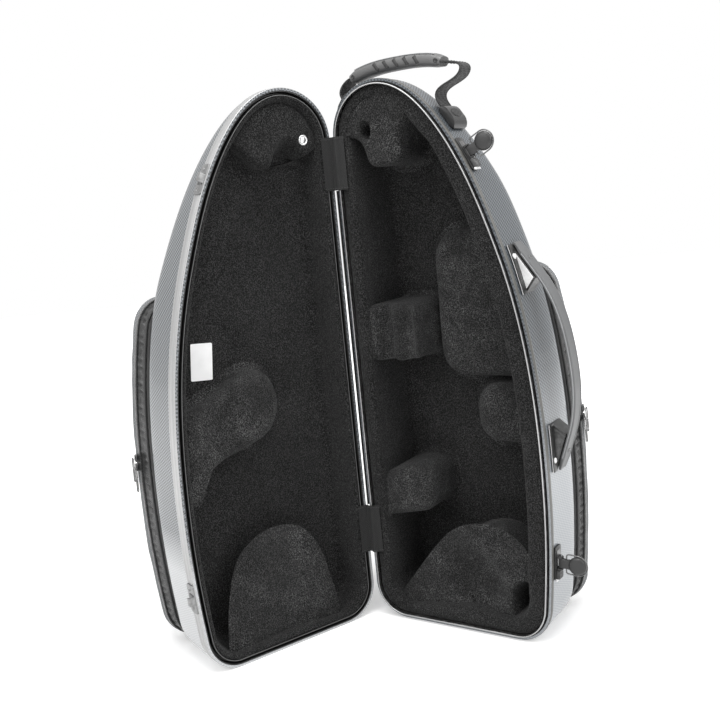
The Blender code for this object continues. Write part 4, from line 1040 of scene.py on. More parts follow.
def makeBlock(half, node, sizes):
    limit = insetLoop(outline, blockSizes["margin"])

    def held(points):
        # The points outside the limit move to the nearest point of it
        made = []
        for point in points:
            outside = not insideLoop(point, limit)
            made.append(min(limit, key=lambda p: (p - point).length_squared) if outside else point)
        return made

    def under(z):
        return floorDepth(half, z) + blockSizes["under"]

    def dented(row, depth):
        # A ring with the pressed hollows added, down to the floor at most
        ring = []
        for p in row:
            d = depth(p.y)
            for (cu, cz, deep), (ru, rz) in sizes.get("hollows", []):
                share = 1 - ((p.x / mm - cu) / ru) ** 2 - ((p.y / mm - cz) / rz) ** 2
                if share > 0:
                    d += deep * mm * share * share * (3 - 2 * share)
            ring.append(place(half, p.x, min(d, under(p.y)), p.y))
        return ring

    loop = held(evenly(rounded(inMm(sizes["corners"]), sizes["round"] * mm, 8), blockSizes["points"]))
    for _ in range(blockSizes["smoothing"]):
        loop = [(loop[k - 1] + p * 2 + loop[(k + 1) % len(loop)]) / 4 for k, p in enumerate(loop)]
    centre = sum(loop, Vector((0, 0))) / len(loop)
    top = sizes["top"] * mm
    room = floorDepth(half, centre.y) - top
    cove, edge = min(sizes.get("cove", 8) * mm, 0.45 * room), min(sizes["edge"] * mm, 0.5 * room)
    rings = [ringOf(half, held(insetLoop(loop, -cove)), under)]
    for across, up in quarterTurn(5):
        row = held(insetLoop(loop, -cove * up))
        rings.append(ringOf(half, row, lambda z: floorDepth(half, z) - cove * across + 0.2 * mm))
    for share in (0.35, 0.7):
        reach = (top + edge) * share
        rings.append(dented(loop, lambda z: (floorDepth(half, z) - cove) * (1 - share) + reach))
    for across, up in quarterTurn(6):
        closer = held(insetLoop(loop, edge * across))
        rings.append(dented(closer, lambda z: top + edge * up))
    count = blockSizes["rings"]
    for step in range(1, count - 1):
        rings.append(dented([p.lerp(centre, step / count) for p in closer], lambda z: top))
    # Pads take the lighter plush unless told otherwise: painted light on the raised pads
    addPiece(node + "Foam", loft(rings), sizes.get("cloth", "blockPlush"), half["name"], "plush", node,
             sharpAngle=70, rough=[(0.5, 11, 3)], padded=True)


for half in halves.values():
    for node, sizes in blockSizes[half["name"]].items():
        makeBlock(half, node, sizes)
print("linings made")

# Label and press stud in the lid
labelSizes = inMm({"spot": (178, 45.3, 354), "half": (13.5, 21.5), "corner": 1, "thick": 0.25, "curl": 0.6})
labelSizes["turn"] = math.radians(-6)
studSizes = inMm({"spot": (34, 7.7, 592), "radius": 6})
studSizes["profile"] = [(1, -1.4), (1, 0), (0.95, 0.5), (0.82, 0.7), (0.7, 0.4), (0.62, 0.35), (0.5, 0.9),
                        (0.25, 1.2), (0.06, 1.25)]


def makeLidMarks():
    # In both matrices X runs along u, Y up and Z out of the mouth
    x = uWay(lid)
    if x.cross(zUp).dot(dWay(lid)) > 0:
        x = -x
    matrix = matrixOf(place(lid, *labelSizes["spot"]), x, zUp, x.cross(zUp))
    matrix = matrix @ Matrix.Rotation(labelSizes["turn"], 4, "Z")
    wide, tall = labelSizes["half"]
    corners = evenly(slab(wide, tall, labelSizes["corner"], 6), 80)
    rings = []
    for share, level in ((0.05, 0), (0.5, 0), (1, 0), (1, 1), (0.5, 1), (0.05, 1)):
        ring = []
        for p in corners:
            q = p * share
            lift = labelSizes["curl"] * (q.x / wide) ** 2 * (0.5 + 0.5 * q.y / tall)
            ring.append(matrix @ Vector((q.x, q.y, level * labelSizes["thick"] + lift)))
        rings.append(ring)
    addPiece("labelSheet", loft(rings), "label", "lid", "label", "blank_label")
    matrix = matrixOf(place(lid, *studSizes["spot"]), x, zUp, x.cross(zUp))
    stud = turned(matrix, studSizes["profile"], radius=studSizes["radius"])
    addPiece("pressStudCap", stud, "bright", "lid", "steel", "press_stud")


makeLidMarks()

# Cloth covers of the hinges, sewn along their edges, and a dark strip in the gap between them
tapeSizes = inMm({
    "heights": {"upper": 562, "lower": 114},
    "length": 61,
    "thickness": 0.9,
    "lidRoute": [(15, -0.5), (10, -0.9), (6.4, -1.1), (2.6, -2.6)],  # (u, d) from rim to rim
    "baseRoute": [(5.1, -5.3), (7.7, -6.3), (10.2, -5), (12.7, -2.6), (17.2, -0.7)],
    "seamIn": 2.4,
    "longest": 4,
    "clear": 0.12,
})
edgeStrip = inMm({"run": (143, 531), "wide": 1.8, "thick": 4.4, "depth": 3.6, "corner": 0.6, "over": 0.1})


def makeTape(label, height):
    route = [place(lid, u, d, height) for u, d in tapeSizes["lidRoute"]]
    route += [place(base, u, d, height) for u, d in tapeSizes["baseRoute"]]
    last = len(route) - 1
    ways = [(route[min(k + 1, last)] - route[max(k - 1, 0)]).normalized() for k in range(len(route))]
    path = evenly(smoothPath(route, ways, 10), 40, closed=False)
    half, thick = tapeSizes["length"] / 2, tapeSizes["thickness"] / 2
    section = subdivided(slab(half, thick, thick * 0.9, 3), tapeSizes["longest"])
    tape = meshObject(label + "HingeCover", runSection(path, section, zUp), "tape", 60)
    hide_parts(label + "_hinge_tape")
    frames = pathFrames(path, zUp)
    facing = 1 if frames[len(path) // 2][2].dot(Vector((0, -1, 0))) >= 0 else -1
    pieces = [tape]
    for name, edge in (("Low", -1), ("High", 1)):
        side, lift = edge * (half - tapeSizes["seamIn"]), facing * (thick + tapeSizes["clear"])
        points = [p + zUp * side + f[2] * lift for p, f in zip(path, frames)]
        pieces.append(stitched(f"{label}HingeSeam{name}", points, frames, 0, 0, facing))
    for piece in pieces:
        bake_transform(piece)


def makeEdgeStrip():
    a, b = edgeStrip["wide"] / 2, edgeStrip["thick"] / 2
    section = slab(a, b, edgeStrip["corner"], 3)
    low, high = edgeStrip["run"]
    heights = [low + (high - low) * k / 30 for k in range(31)]
    line = [place(base, edgeStrip["over"] - a, edgeStrip["depth"], height) for height in heights]
    addPiece("hingeEdgeStrip", runSection(line, section, uWay(base)), "rubber", "base", "rubber")


makeEdgeStrip()
for label, height in tapeSizes["heights"].items():
    makeTape(label, height)
print("hinges covered")

# Draw latches on the base and their keepers on the lid, in millimetres
latchSizes = {
    "heights": {"upper": 557, "lower": 97},
    "pin": (6.2, 14),  # out from the wall, into the depth
    "foot": 0.3,
    "plate": (16, 40, 2),
    "inlay": (9, 31, 0.5),
    "arm": 11.6,
    "ear": (8, 2, 8.6),  # wide, thick, high
    "padRadius": 9.6,
    "padOut": 25,
    "padThickness": 5,
    "dome": [(1.06, -3.2), (1.08, -1.6), (1.05, 0), (0.95, 0.9), (0.78, 1.5), (0.55, 1.9), (0.3, 2.1),
             (0.04, 2.15)],
    "bailOut": 12.2,
    "wire": 0.8,
    "clearance": 1.2,
}
keeperSizes = {"plate": (35, 16, 2), "setback": 0.9, "hook": (10, 1.3, 5.4), "under": 7.7}


def latchMatrix(label):
    joint = joints[label + "_lever_turn"]
    z = Vector(joint["axis"]).normalized()
    if z.z < 0:
        z = -z
    y = dWay(base)
    x = y.cross(z)
    out, deep = inMm(latchSizes["pin"])
    return matrixOf(Vector(joint["pos_m"]) - x * out - y * deep, x, y, z)


def makeLatch(label):
    m = latchMatrix(label)
    deep, foot = latchSizes["pin"][1], latchSizes["foot"]
    wide, tall, thick = latchSizes["plate"]
    parts = [prism(m, slab(wide / 2, tall / 2, 3, 5, (deep, 0)), foot, foot + thick, "yzx", 0.6)]
    earWide, earThick, earHigh = latchSizes["ear"]
    inner = latchSizes["arm"] / 2 + 0.3
    ear = [(0.9, deep - earWide / 2), (earHigh * 0.6, deep - earWide / 2), (earHigh, deep - earWide * 0.2),
           (earHigh, deep + earWide * 0.25), (earHigh * 0.55, deep + earWide / 2), (0.9, deep + earWide / 2)]
    for side in (-1, 1):
        low, high = sorted((side * inner, side * (inner + earThick)))
        parts.append(prism(m, rounded(ear, 1.4, 4), low, high, "xyz", 0.35))
    addPiece(label + "LatchBase", join(parts), "black", "base", "black_plastic", label + "_latch_plate")
    inWide, inTall, inThick = latchSizes["inlay"]
    level, end = foot + thick, -tall / 2
    inlay = slab(inWide / 2, inTall / 2, 1.5, 4, (deep, 0))
    inlay = prism(m, inlay, level - 0.2, level + inThick, "yzx", 0.2)
    addPiece(label + "LatchInlay", inlay, "wire", "base", "steel")
    block = box(m, (level - 0.2, deep - 5.4, end + 1.4), (level + 4.2, deep + 5.4, -inner - 2.4), 0.8)
    addPiece(label + "LatchBlock", block, "darkGrey", "base", "grey_plastic")
    ribs = [m @ (Vector((level + 4.2, deep - 4.4 + 8.8 * k / 8, end + 5.4)) * mm) for k in range(9)]
    outs = [m.to_3x3() @ Vector((1, 0, 0))] * len(ribs)
    grips = repeatAlong(label + "LatchRibs", ribs, outs, shapes["rib"], 1.2 * mm, "grey")
    finish(grips, "base", "grey_plastic")
    lip = box(m, (level - 0.2, deep - 6.4, end - 1.2), (level + 1.8, deep + 6.4, end + 1.3), 0.5)
    addPiece(label + "LatchLip", lip, "pale", "base", "grey_plastic")


def makeLever(label):
    m = latchMatrix(label)
    out, deep = latchSizes["pin"]
    arm, r, padOut = latchSizes["arm"] / 2, latchSizes["padRadius"], latchSizes["padOut"]
    t = latchSizes["padThickness"] / 2
    gap = math.asin(arm * 0.72 / r)
    shoulder = [(out - 2.5, -arm), (out + 3, -arm), (out + 7, -arm * 0.86)]
    pad = arcPoints((padOut, 0), r, -math.pi + gap, 2 * math.pi - 2 * gap, 28)
    around = shoulder + pad + [(x, -z) for x, z in reversed(shoulder)]
    body = prism(m, around, deep - t, deep + t * 0.8, "xzy", 0.9, 3)
    dome = m @ Matrix.Translation(inMm((padOut, deep - t + 0.4, 0))) @ Matrix.Rotation(quarter, 4, "X")
    parts = [body, turned(dome, latchSizes["dome"], 44, r * mm)]
    addPiece(label + "LatchLever", join(parts), "lever", label + "_lever", "grey_plastic",
             label + "_latch_lever")
    reach, start = r + latchSizes["clearance"] + latchSizes["wire"], latchSizes["bailOut"]
    hook = [(start, -1.6), (start, -reach + 2.4), (start + 0.7, -reach + 0.7), (start + 2.4, -reach)]
    knots = hook + arcPoints((padOut, 0), reach, -quarter, math.pi, 24) + [(x, -z) for x, z in reversed(hook)]
    path = evenly([m @ (Vector((x, deep, z)) * mm) for x, z in knots], 90, closed=False)
    wire = runSection(path, circle(latchSizes["wire"] * mm, 12), dWay(base))
    addPiece(label + "LatchWire", wire, "wire", label + "_bail", "steel", label + "_latch_bail")


def wallMatrix(half, height):
    point, out = wallAt(height)
    x = (uWay(half) * out.x + zUp * out.y).normalized()
    return matrixOf(place(half, point.x, 0, point.y), x, dWay(half), x.cross(dWay(half)))


def makeKeeper(label, height):
    m = wallMatrix(lid, height)
    (tall, wide, thick), near = keeperSizes["plate"], keeperSizes["setback"]
    deck = latchSizes["foot"] + thick
    plate = slab(wide / 2, tall / 2, 3.4, 6, (near + wide / 2, 0))
    hookLong, hookThick, reach = keeperSizes["hook"]
    under, back = keeperSizes["under"], near + hookThick
    top, tip = under + hookThick, near + reach
    hook = [(deck - 0.3, near), (top, near), (top, tip), (under, tip), (under - 0.3, back),
            (deck - 0.3, back)]
    parts = [prism(m, plate, latchSizes["foot"], deck, "yzx", 0.5, 3),
             prism(m, rounded(hook, 0.5, 3), -hookLong / 2, hookLong / 2, "xyz", 0.4)]
    addPiece(label + "KeeperPlate", join(parts), "keeper", "lid", "steel", label + "_keeper")
    # A dark plate on the keeper under and beside the hook: the hook's painted shadow
    low, high = near + 1.4, near + wide * 0.8
    seat = slab((high - low) / 2, hookLong * 0.62, 1, 4, ((low + high) / 2, 0))
    shade = prism(m, seat, deck - 0.2, deck + 0.5, "yzx", 0.2)
    addPiece(label + "KeeperSeat", shade, "metal", "lid", "dark_metal")
    points = [m @ (Vector((deck, near + wide * 0.62, side * tall * 0.33)) * mm) for side in (-1, 1)]
    addPair(label + "KeeperScrews", points, [m.to_3x3() @ Vector((1, 0, 0))] * 2, "keeper", "lid")


def addPair(name, points, outs, finishName, body, size=1.0):
    # A screw at each of two points
    spacing = (points[1] - points[0]).length * 0.9
    finish(repeatAlong(name, points, outs, shapes["screw"], spacing, finishName, size=size), body, "steel")


for label, height in inMm(latchSizes["heights"]).items():
    makeLatch(label)
    makeLever(label)
    makeKeeper(label, height)
print("latches made")

# Side handle: a bowed strap on two wedge brackets
sideHandle = inMm({
    "top": 456,
    "foot": 203,
    "bracket": (54, 16, 21),  # long, high, start depth
    "strap": (21, 4.5, 3.6),  # wide, thick, set back
    "rise": 29,
    "flange": (9, 2.4),
    "gap": 0.6,
    "seamOut": 1.6,
    "lift": 0.5,
})


def wallRun(low, high, away, steps):
    run = []
    for k in range(steps + 1):
        point, out = wallAt(low + (high - low) * k / steps)
        run.append(point + out * away)
    return run


def makeBracket(label, far, near):
    _, high, start = sideHandle["bracket"]
    wide, _, back = sideHandle["strap"]
    gap, (flangeWide, flangeThick) = sideHandle["gap"], sideHandle["flange"]
    name = label + "Bracket"
    run = wallRun(far, near, gap, 10)
    apex = wallAt(far + (near - far) * 0.76)[0] + wallAt(near)[1] * high
    wedge = run + [apex]
    bm = depthPrism(wedge, start + 0.8 * mm, start + wide + back, 1.0)
    addPiece(name + "Wedge", bm, "black", "base", "black_plastic", label + "_handle_bracket")
    centre = (run[0] + run[-1] + apex) / 3
    bm = depthPrism([p.lerp(centre, 0.16) for p in wedge], start + 0.1 * mm, start + 1.6 * mm, 0.5)
    # The upper cheek is pale and the lower dark grey: painted light and shade, a lit and a shaded copy of one
    # cheek
    addPiece(name + "Cheek", bm, "pale" if label == "upper" else "darkGrey", "base", "black_plastic")
    outer = wallRun(far, near, gap + flangeThick, 10)
    bm = depthPrism(run + outer[::-1], start - flangeWide, start + 1.5 * mm, 0.7)
    addPiece(name + "Flange", bm, "black", "base", "black_plastic")
    line = placeAll(base, wallRun(far, near, sideHandle["seamOut"], 24), start - flangeWide + 0.2 * mm)
    addPiece(name + "Seam", runSection(line, circle(0.45 * mm), dWay(base)), "pale", "base", "grey_plastic")
    spot = Matrix.Translation((gap + flangeThick, start - flangeWide / 2, 0))
    m = wallMatrix(base, far + (near - far) * 0.24) @ spot @ Matrix.Rotation(quarter, 4, "Y")
    head = turned(m, [(3.2, -0.3), (3.2, 0.5), (2.6, 1.2), (1.5, 1.5), (1.2, 1.0), (0.1, 0.9)], 32)
    addPiece(name + "ScrewHead", head, "pale", "base", "steel", label + "_bracket_screw")
    return run[0], apex


def slimming(share, least, rounding=False):
    # Narrower ends for a swept section, over a share of its length
    def scale(t):
        end = min(1, min(t, 1 - t) / share)
        high = math.sin(end * quarter) if rounding else end
        return least[0] + (1 - least[0]) * end, least[1] + (1 - least[1]) * high

    return scale


def makeSideHandle():
    long, _, start = sideHandle["bracket"]
    wide, thick, back = sideHandle["strap"]
    top, topApex = makeBracket("upper", sideHandle["top"], sideHandle["top"] - long)
    foot, footApex = makeBracket("lower", sideHandle["foot"], sideHandle["foot"] + long)
    crownPoint, out = wallAt((sideHandle["top"] + sideHandle["foot"]) / 2)
    crown = crownPoint + out * (sideHandle["rise"] + thick / 2)
    lift = thick / 2 + sideHandle["lift"]
    rise, fall = (topApex - top).normalized(), (foot - footApex).normalized()
    riseOut, fallOut = Vector((-rise.y, rise.x)) * lift, Vector((-fall.y, fall.x)) * lift
    knots = [top + riseOut, topApex + riseOut, crown, footApex + fallOut, foot + fallOut]
    ways = [rise, rise, Vector((out.y, -out.x)), fall, fall]
    path = placeAll(base, evenly(smoothPath(knots, ways, 24), 110, closed=False), start + back + wide / 2)
    a, b = wide / 2, thick / 2
    near, far = a - 2.2 * mm, a - 3.4 * mm
    ribs = [(a, b * 0.75), (near, b), (far, b * 0.7), (-far, b * 0.7), (-near, b), (-a, b * 0.75)]
    section = rounded([(-a, -b), (a, -b)] + ribs, 0.8 * mm, 3)
    strap = runSection(path, section, dWay(base), scale=slimming(0.05, (0.8, 0.55)))
    addPiece("sideHandleStrap", strap, "strap", "base", "grey_plastic", "side_handle_strap", sharpAngle=50)
    frames = pathFrames(path, dWay(base))
    # Pale beads along both edges of the strap: painted highlights
    for name, side in (("Front", -1), ("Back", 1)):
        edge = offsetPath(path, frames, side * (a + 0.05 * mm), 0)[6:-6]
        bead = runSection(edge, circle(0.7 * mm), dWay(base))
        addPiece(f"sideHandle{name}Bead", bead, "strapEdge", "base", "grey_plastic")
    ends = (9, len(path) - 10)
    facing = 1 if frames[ends[0]][2].dot(uWay(base)) >= 0 else -1
    outs = [frames[k][2] * facing for k in ends]
    spots = [path[k] + out * b * 0.7 for k, out in zip(ends, outs)]
    addPair("sideHandleRivets", spots, outs, "wire", "base", 1.2)


makeSideHandle()
print("side handle made")

# Top handle: moulded grip held by webbing on two anchors
topHandle = inMm({
    "depth": 30,
    "neckEnd": (8.3, 635.5),
    "sideEnd": (136.8, 611.6),
    "grip": [(20.3, 656), (72.6, 665), (138.8, 659)],
    "gripSize": (24, 15),
    "webbing": (25, 2.2),
    "seamIn": 2.6,
    "outreach": (24, -12),
    "inreach": (12, 2),
    "gap": 0.4,
    "anchor": (30, 30, 9),  # long, wide, high
    "sideAnchorHeight": 596,
    "neckAnchorAt": 16,
})
topHandle |= {
    "gripWays": [(0.93, 0.36), (1, 0.02), (0.95, -0.3)],
    "neckWay": (-0.62, 0.78),
    "sideWays": [(-0.35, -1), (0.05, -1)],
    "anchorShape": [(-0.5, 0), (-0.5, 0.7), (-0.3, 1), (0.16, 1), (0.36, 0.7), (0.5, 0)],  # shares
}


def makeWebbing(which, route):
    wide, thick = topHandle["webbing"]
    a, b = wide / 2, thick / 2
    section = subdivided(slab(a, b, b * 0.9, 3), 2.5 * mm)
    path = placeAll(base, evenly(route, 60, closed=False), topHandle["depth"])
    name = which + "WebbingStrip"
    strip = meshObject(name, runSection(path, section, dWay(base)), "webbing", 60)
    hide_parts(which + "_webbing")
    frames = pathFrames(path, dWay(base))
    pieces = [strip]
    for label, side, face in (("LB", -1, 1), ("RB", 1, 1), ("LA", -1, -1), ("RA", 1, -1)):
        beside, above = side * (a - topHandle["seamIn"]), face * (b + 0.1 * mm)
        pieces.append(stitched(f"{name}Seam{label}", path, frames, beside, above, face))
    for piece in pieces:
        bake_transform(piece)


def makeGrip(path):
    a, b = topHandle["gripSize"][0] / 2, topHandle["gripSize"][1] / 2
    section = []
    for c, s in circle(1, 36):
        section.append((a * math.copysign(abs(c) ** 0.7, c), b * math.copysign(abs(s) ** 0.8, s)))
    body = runSection(path, section, dWay(base), scale=slimming(0.1, (0.86, 0.72), True))
    addPiece("gripMoulding", body, "grip", "top_handle", "grey_plastic", "handle_grip", sharpAngle=50)
    frames = pathFrames(path, dWay(base))
    up = 1 if frames[len(path) // 2][2].z > 0 else -1
    # A pale line along the grip's top edge: a painted highlight
    rim = offsetPath(path, frames, -(a - 3.2 * mm), up * b * 0.9)[5:-5]
    line = runSection(rim, circle(0.55 * mm), dWay(base))
    addPiece("gripRimLine", line, "strapEdge", "top_handle", "grey_plastic")
    for label, side in (("Front", -1), ("Back", 1)):
        points = offsetPath(path, frames, side * (a - 0.05 * mm), 0)[22:-17]
        outs = [f[1] * side for f in frames][22:-17]
        slots = repeatAlong(f"grip{label}Slots", points, outs, shapes["slot"], 12 * mm, "black")
        finish(slots, "top_handle", "grey_plastic")
    for label, k in (("Neck", 3), ("Side", -4)):
        (along, side, out), profile = frames[k], [(2.6, -1), (2.6, 0.5), (2.1, 0.9), (1.4, 0.6), (0.1, 0.5)]
        if along.cross(out).dot(side) > 0:
            along = -along
        turn = matrixOf(path[k] - side * (a * 0.9), along, out, -side)
        addPiece(f"grip{label}Rivet", turned(turn, profile, 24), "black", "top_handle", "black_plastic")


def makeTopHandle():
    grip = [Vector(p) for p in topHandle["grip"]]
    ways = [Vector(way).normalized() for way in topHandle["gripWays"]]
    makeGrip(placeAll(base, evenly(smoothPath(grip, ways, 24), 70, closed=False), topHandle["depth"]))
    neckEnd, sideEnd = Vector(topHandle["neckEnd"]), Vector(topHandle["sideEnd"])
    gripStart, gripEnd = grip[0] - ways[0] * topHandle["gap"], grip[2] + ways[2] * topHandle["gap"]
    route = smoothPath([neckEnd, gripStart], [Vector(topHandle["neckWay"]), ways[0]], 20)
    makeWebbing("neck", route)
    sidePoint, sideOut = wallAt(topHandle["sideAnchorHeight"])
    along = Vector((sideOut.y, -sideOut.x))
    back, over = topHandle["inreach"]
    outermost, inmost = gripEnd + Vector(topHandle["outreach"]), sideEnd - along * back + sideOut * over
    knots = [gripEnd, outermost, inmost, sideEnd]
    makeWebbing("side", smoothPath(knots, [ways[2], *topHandle["sideWays"], along], 16))
    makeAnchor("side", sidePoint, sideOut)
    for k, a in enumerate(outline):
        b = outline[(k + 1) % len(outline)]
        if a.x > topHandle["neckAnchorAt"] >= b.x and a.y > case["length"] - case["neckDrop"]:
            way = (b - a).normalized()
            makeAnchor("neck", a, Vector((way.y, -way.x)))


def makeAnchor(label, point, out):
    (long, wide, high), depth = topHandle["anchor"], topHandle["depth"]
    along = Vector((out.y, -out.x))
    foot = point + out * 1.0 * mm
    shape = [foot + along * long * share + out * high * rise for share, rise in topHandle["anchorShape"]]
    block = depthPrism(rounded(shape, 3 * mm, 4), depth - wide / 2, depth + wide / 2, 2.2, 4)
    addPiece(label + "AnchorBlock", block, "black", "base", "black_plastic", label + "_anchor")
    centre = foot + out * (high + 0.1 * mm) - along * long * 0.07
    x, z = [uWay(base) * way.x + zUp * way.y for way in (along, out)]
    turn = matrixOf(place(base, centre.x, depth, centre.y), x, z.cross(x), z)
    stretch = Matrix.Diagonal((0.62, 1.1, 1, 1))
    oval = turned(turn @ stretch, [(9.5, -0.8), (9.4, 0.3), (8.6, 0.8), (5, 0.95), (0.3, 1.0)])
    addPiece(label + "AnchorPatch", oval, "webbing", "base", "webbing", sharpAngle=60)


makeTopHandle()
print("top handle made")

# Zipped pockets on the backs
pocketSizes = inMm({
    "top": 424,
    "foot": 7,
    "inset": 4,
    "corner": 26,
    "gap": 0.5,
    "lid": 38,
    "base": 30,
    "pleat": (9.5, 1.7),  # pitch, depth
    "middle": (112, 205),
    "zipWidth": 5.4,
    "tooth": 1.15,
    "zipStart": 26,
    "track": (-1.9, -3),
    "hingeSide": 50,
})
# Rows of (inset, share of the thickness) and, on the gusset, how deep the pleats are
pocketSizes |= {
    "points": 300,
    "backRings": 15,
    "zipPlace": 0.58,  # share of the thickness
    "gusset": [(9, 0.0, 0), (5, 0.02, 0.2), (2.6, 0.08, 0.6), (1.2, 0.18, 1), (0.6, 0.28, 1),
               (0.8, 0.38, 0.9), (-0.2, 0.46, 0.4), (-0.8, 0.52, 0), (12, 0.52, 0), (14, 0.02, 0)],
    "panel": [(10, 0.54), (1, 0.545), (-1.2, 0.62), (-3.6, 0.7), (-4, 0.77), (-2, 0.85), (3.4, 0.915),
              (11, 0.95)],
    "piping": {"Outer": (0.4, 0.865, 1.0, "nylon"), "Inner": (1.8, 0.06, 1.3, "piping")},
}


def pocketOutline():
    top, foot, corner = pocketSizes["top"], pocketSizes["foot"], pocketSizes["corner"]
    loop = insetLoop(outline, pocketSizes["inset"])
    below = [Vector((p.x, max(p.y, foot))) for p in loop if p.y < top]
    free = max((p for p in below if p.x > 2 * pocketSizes["hingeSide"]), key=lambda p: p.y)
    hinge = max((p for p in below if p.x < pocketSizes["hingeSide"]), key=lambda p: p.y)
    keep = [p for p in below if p.y < top - corner]
    k = max(range(len(keep)), key=lambda i: (keep[(i + 1) % len(keep)] - keep[i]).length)
    keep = keep[k + 1:] + keep[:k + 1]
    lean, level = (keep[-1] - keep[-2]).normalized(), (-1, 0)
    right, left = Vector((free.x - corner, top)), Vector((hinge.x + corner, top))
    arch = bezierRun(keep[-1], lean, right, level, 20) + bezierRun(right, level, left, level, 30)
    arch += bezierRun(left, level, keep[0], (0, -1), 20)
    return evenly(keep[:-1] + arch, pocketSizes["points"])


def makePocket(half):
    name, loop = half["name"], pocketOutline()
    thick, deepest = pocketSizes[name], half["depth"] + pocketSizes["gap"]
    lengths = runLengths(loop)
    pitch, fold = pocketSizes["pleat"]
    pleats = round(lengths[-1] / pitch)
    inward = [b - a for a, b in zip(loop, insetLoop(loop, 1))]

    def ring(away, share, wave=0):
        made = []
        for k, p in enumerate(insetLoop(loop, away * mm)):
            swell = fold * wave * math.sin(2 * math.pi * pleats * lengths[k] / lengths[-1] + 5 * share)
            made.append(p + inward[k] * swell)
        return placeAll(half, made, deepest + thick * share)

    gusset = loft([ring(*row) for row in pocketSizes["gusset"]], closedProfile=True)
    addPiece(name + "PocketGusset", gusset, "gusset", name, "nylon", sharpAngle=60, rough=[(0.5, 16, 5)])
    rings, backRings = [ring(*row) for row in pocketSizes["panel"]], pocketSizes["backRings"]
    flat = range(len(rings) - 1, len(rings) + backRings)
    inset, level = pocketSizes["panel"][-1]
    for step in range(1, backRings + 1):
        share = step / (backRings + 1)
        row = [p.lerp(Vector(pocketSizes["middle"]), share) for p in insetLoop(loop, inset * mm)]
        swell = level + (1 - level) * math.sin(share * quarter)
        rings.append(placeAll(half, row, deepest + thick * swell))
    addPiece(name + "PocketPanel", loft(rings, flat=flat), "nylon", name, "nylon", name + "_pocket",
             sharpAngle=60, rough=[(1.1, 45, 2), (0.5, 18, 4)])
    for label, (away, share, radius, cloth) in pocketSizes["piping"].items():
        bead = runSection(ring(away, share), circle(radius * mm), dWay(half), closed=True)
        addPiece(f"{name}Pocket{label}Piping", bead, cloth, name, "nylon")
    makeZip(half, loop, deepest + thick * pocketSizes["zipPlace"])


def makeZip(half, loop, depth):
    name = half["name"]
    keep = [k for k, p in enumerate(loop) if p.x > pocketSizes["zipStart"]]
    start = next(k for k in keep if (k - 1) % len(loop) not in keep)
    order = [(start + k) % len(loop) for k in range(len(keep))]
    track, outer = [placeAll(half, insetLoop(loop, away), depth) for away in pocketSizes["track"]]
    line = [track[k] for k in order]
    outs = [(outer[k] - track[k]).normalized() for k in order]
    wide, across = pocketSizes["zipWidth"] / 2, dWay(half)
    low, high, ridge = -0.4 * mm, 0.35 * mm, 0.3 * mm
    section = [(-wide, low), (-1.6 * mm, low), (1.6 * mm, low), (wide, low), (wide, high), (1.8 * mm, ridge),
               (-1.8 * mm, ridge), (-wide, high)]
    sign = 1 if pathFrames(line, across)[40][2].dot(outs[40]) > 0 else -1
    tape = runSection(line, [(a, b * sign) for a, b in section], across)
    addPiece(name + "ZipTape", tape, "zipTape", name, "nylon", name + "_pocket_zip", sharpAngle=60)
    frames = [(None, across, out) for out in outs]
    seat = offsetPath(line, frames, 0, 0.55 * mm)
    teeth = repeatAlong(name + "ZipTeeth", seat, outs, shapes["tooth"], pocketSizes["tooth"], "coil",
                        jitter=0.03)
    finish(teeth, name, "nylon")
    for label, side in (("Near", -1), ("Far", 1)):
        seam = stitched(f"{name}ZipSeam{label}", line, frames, side * (wide - 0.9 * mm), 0.42 * mm, 1, 3.2)
        finish(seam, name, "nylon")


sliderSizes = {  # millimetres
    "body": (8, 9, 4.6),
    "rise": 1.0,
    "pull": (6, 30, 0.75),
    "aside": 0.6,
    "grip": (4.4, 10, 1.6),
}
sliderSizes["bridge"] = [(3.2, -2.6), (4.3, -1.8), (4.6, 0), (4.3, 1.8), (3.2, 2.6)]


def makeSlider(half, label):
    name, title = half["name"], half["name"] + label.title()
    pivot = Vector(joints[f"{name}_{label}_pull_swing"]["pos_m"])
    up = Vector(joints[f"{name}_{label}_slide"]["axis"]).normalized()
    if up.z < 0:
        up = -up
    y = dWay(half)
    x = y.cross(up).normalized()
    if x.dot(uWay(half)) < 0:
        x = -x
    wide, long, high = sliderSizes["body"]
    seat = matrixOf(pivot - x * (high + sliderSizes["rise"]) * mm, x, y, x.cross(y))
    a, b, narrow = wide / 2, long / 2, wide / 2 * 0.8
    taper = rounded([(-a, -b), (a, -b), (narrow, b), (-narrow, b)], 1.6, 4)
    parts = [prism(seat, taper, -0.1, 1.3, "yzx", 0.35), prism(seat, taper, 2.3, 3.6, "yzx", 0.4),
             box(seat, (0.8, -1.2, -2.4), (2.8, 1.2, 2.4), 0.3)]
    path = evenly([seat @ (Vector((h, 0, z)) * mm) for h, z in sliderSizes["bridge"]], 16, closed=False)
    parts.append(runSection(path, circle(0.55 * mm), y))
    node = f"{name}_{label}_slider"
    addPiece(title + "SliderBody", join(parts), "metal", node, "dark_metal", node)
    node, (pullWide, pullLong, wire) = f"{name}_{label}_pull", sliderSizes["pull"]
    shift = (pullWide / 2 + sliderSizes["aside"]) * (1 if label == "upper" else -1)
    a = pullWide / 2 - wire
    knots = [(a, 1.0)] + arcPoints((0, pullLong - pullWide / 2), a, 0, math.pi, 12)
    knots += [(-a, 1.0), (-a * 0.6, 0.2), (a * 0.6, 0.2)]
    ring = evenly([pivot + (y * (shift + s) - up * t) * mm for s, t in knots], 56)
    loop = runSection(ring, circle(wire * mm), x, closed=True)
    addPiece(title + "PullLoop", loop, "wire", node, "dark_metal", node)
    gripWide, gripLong, gripThick = [size / 2 for size in sliderSizes["grip"]]
    low = matrixOf(pivot + (y * shift - up * (pullLong - 2 * gripLong)) * mm, x, y, x.cross(y))
    tab = box(low, (-gripThick, -gripWide, -gripLong), (gripThick, gripWide, gripLong), 0.6, 3)
    addPiece(title + "PullGrip", tab, "black", node, "black_plastic")


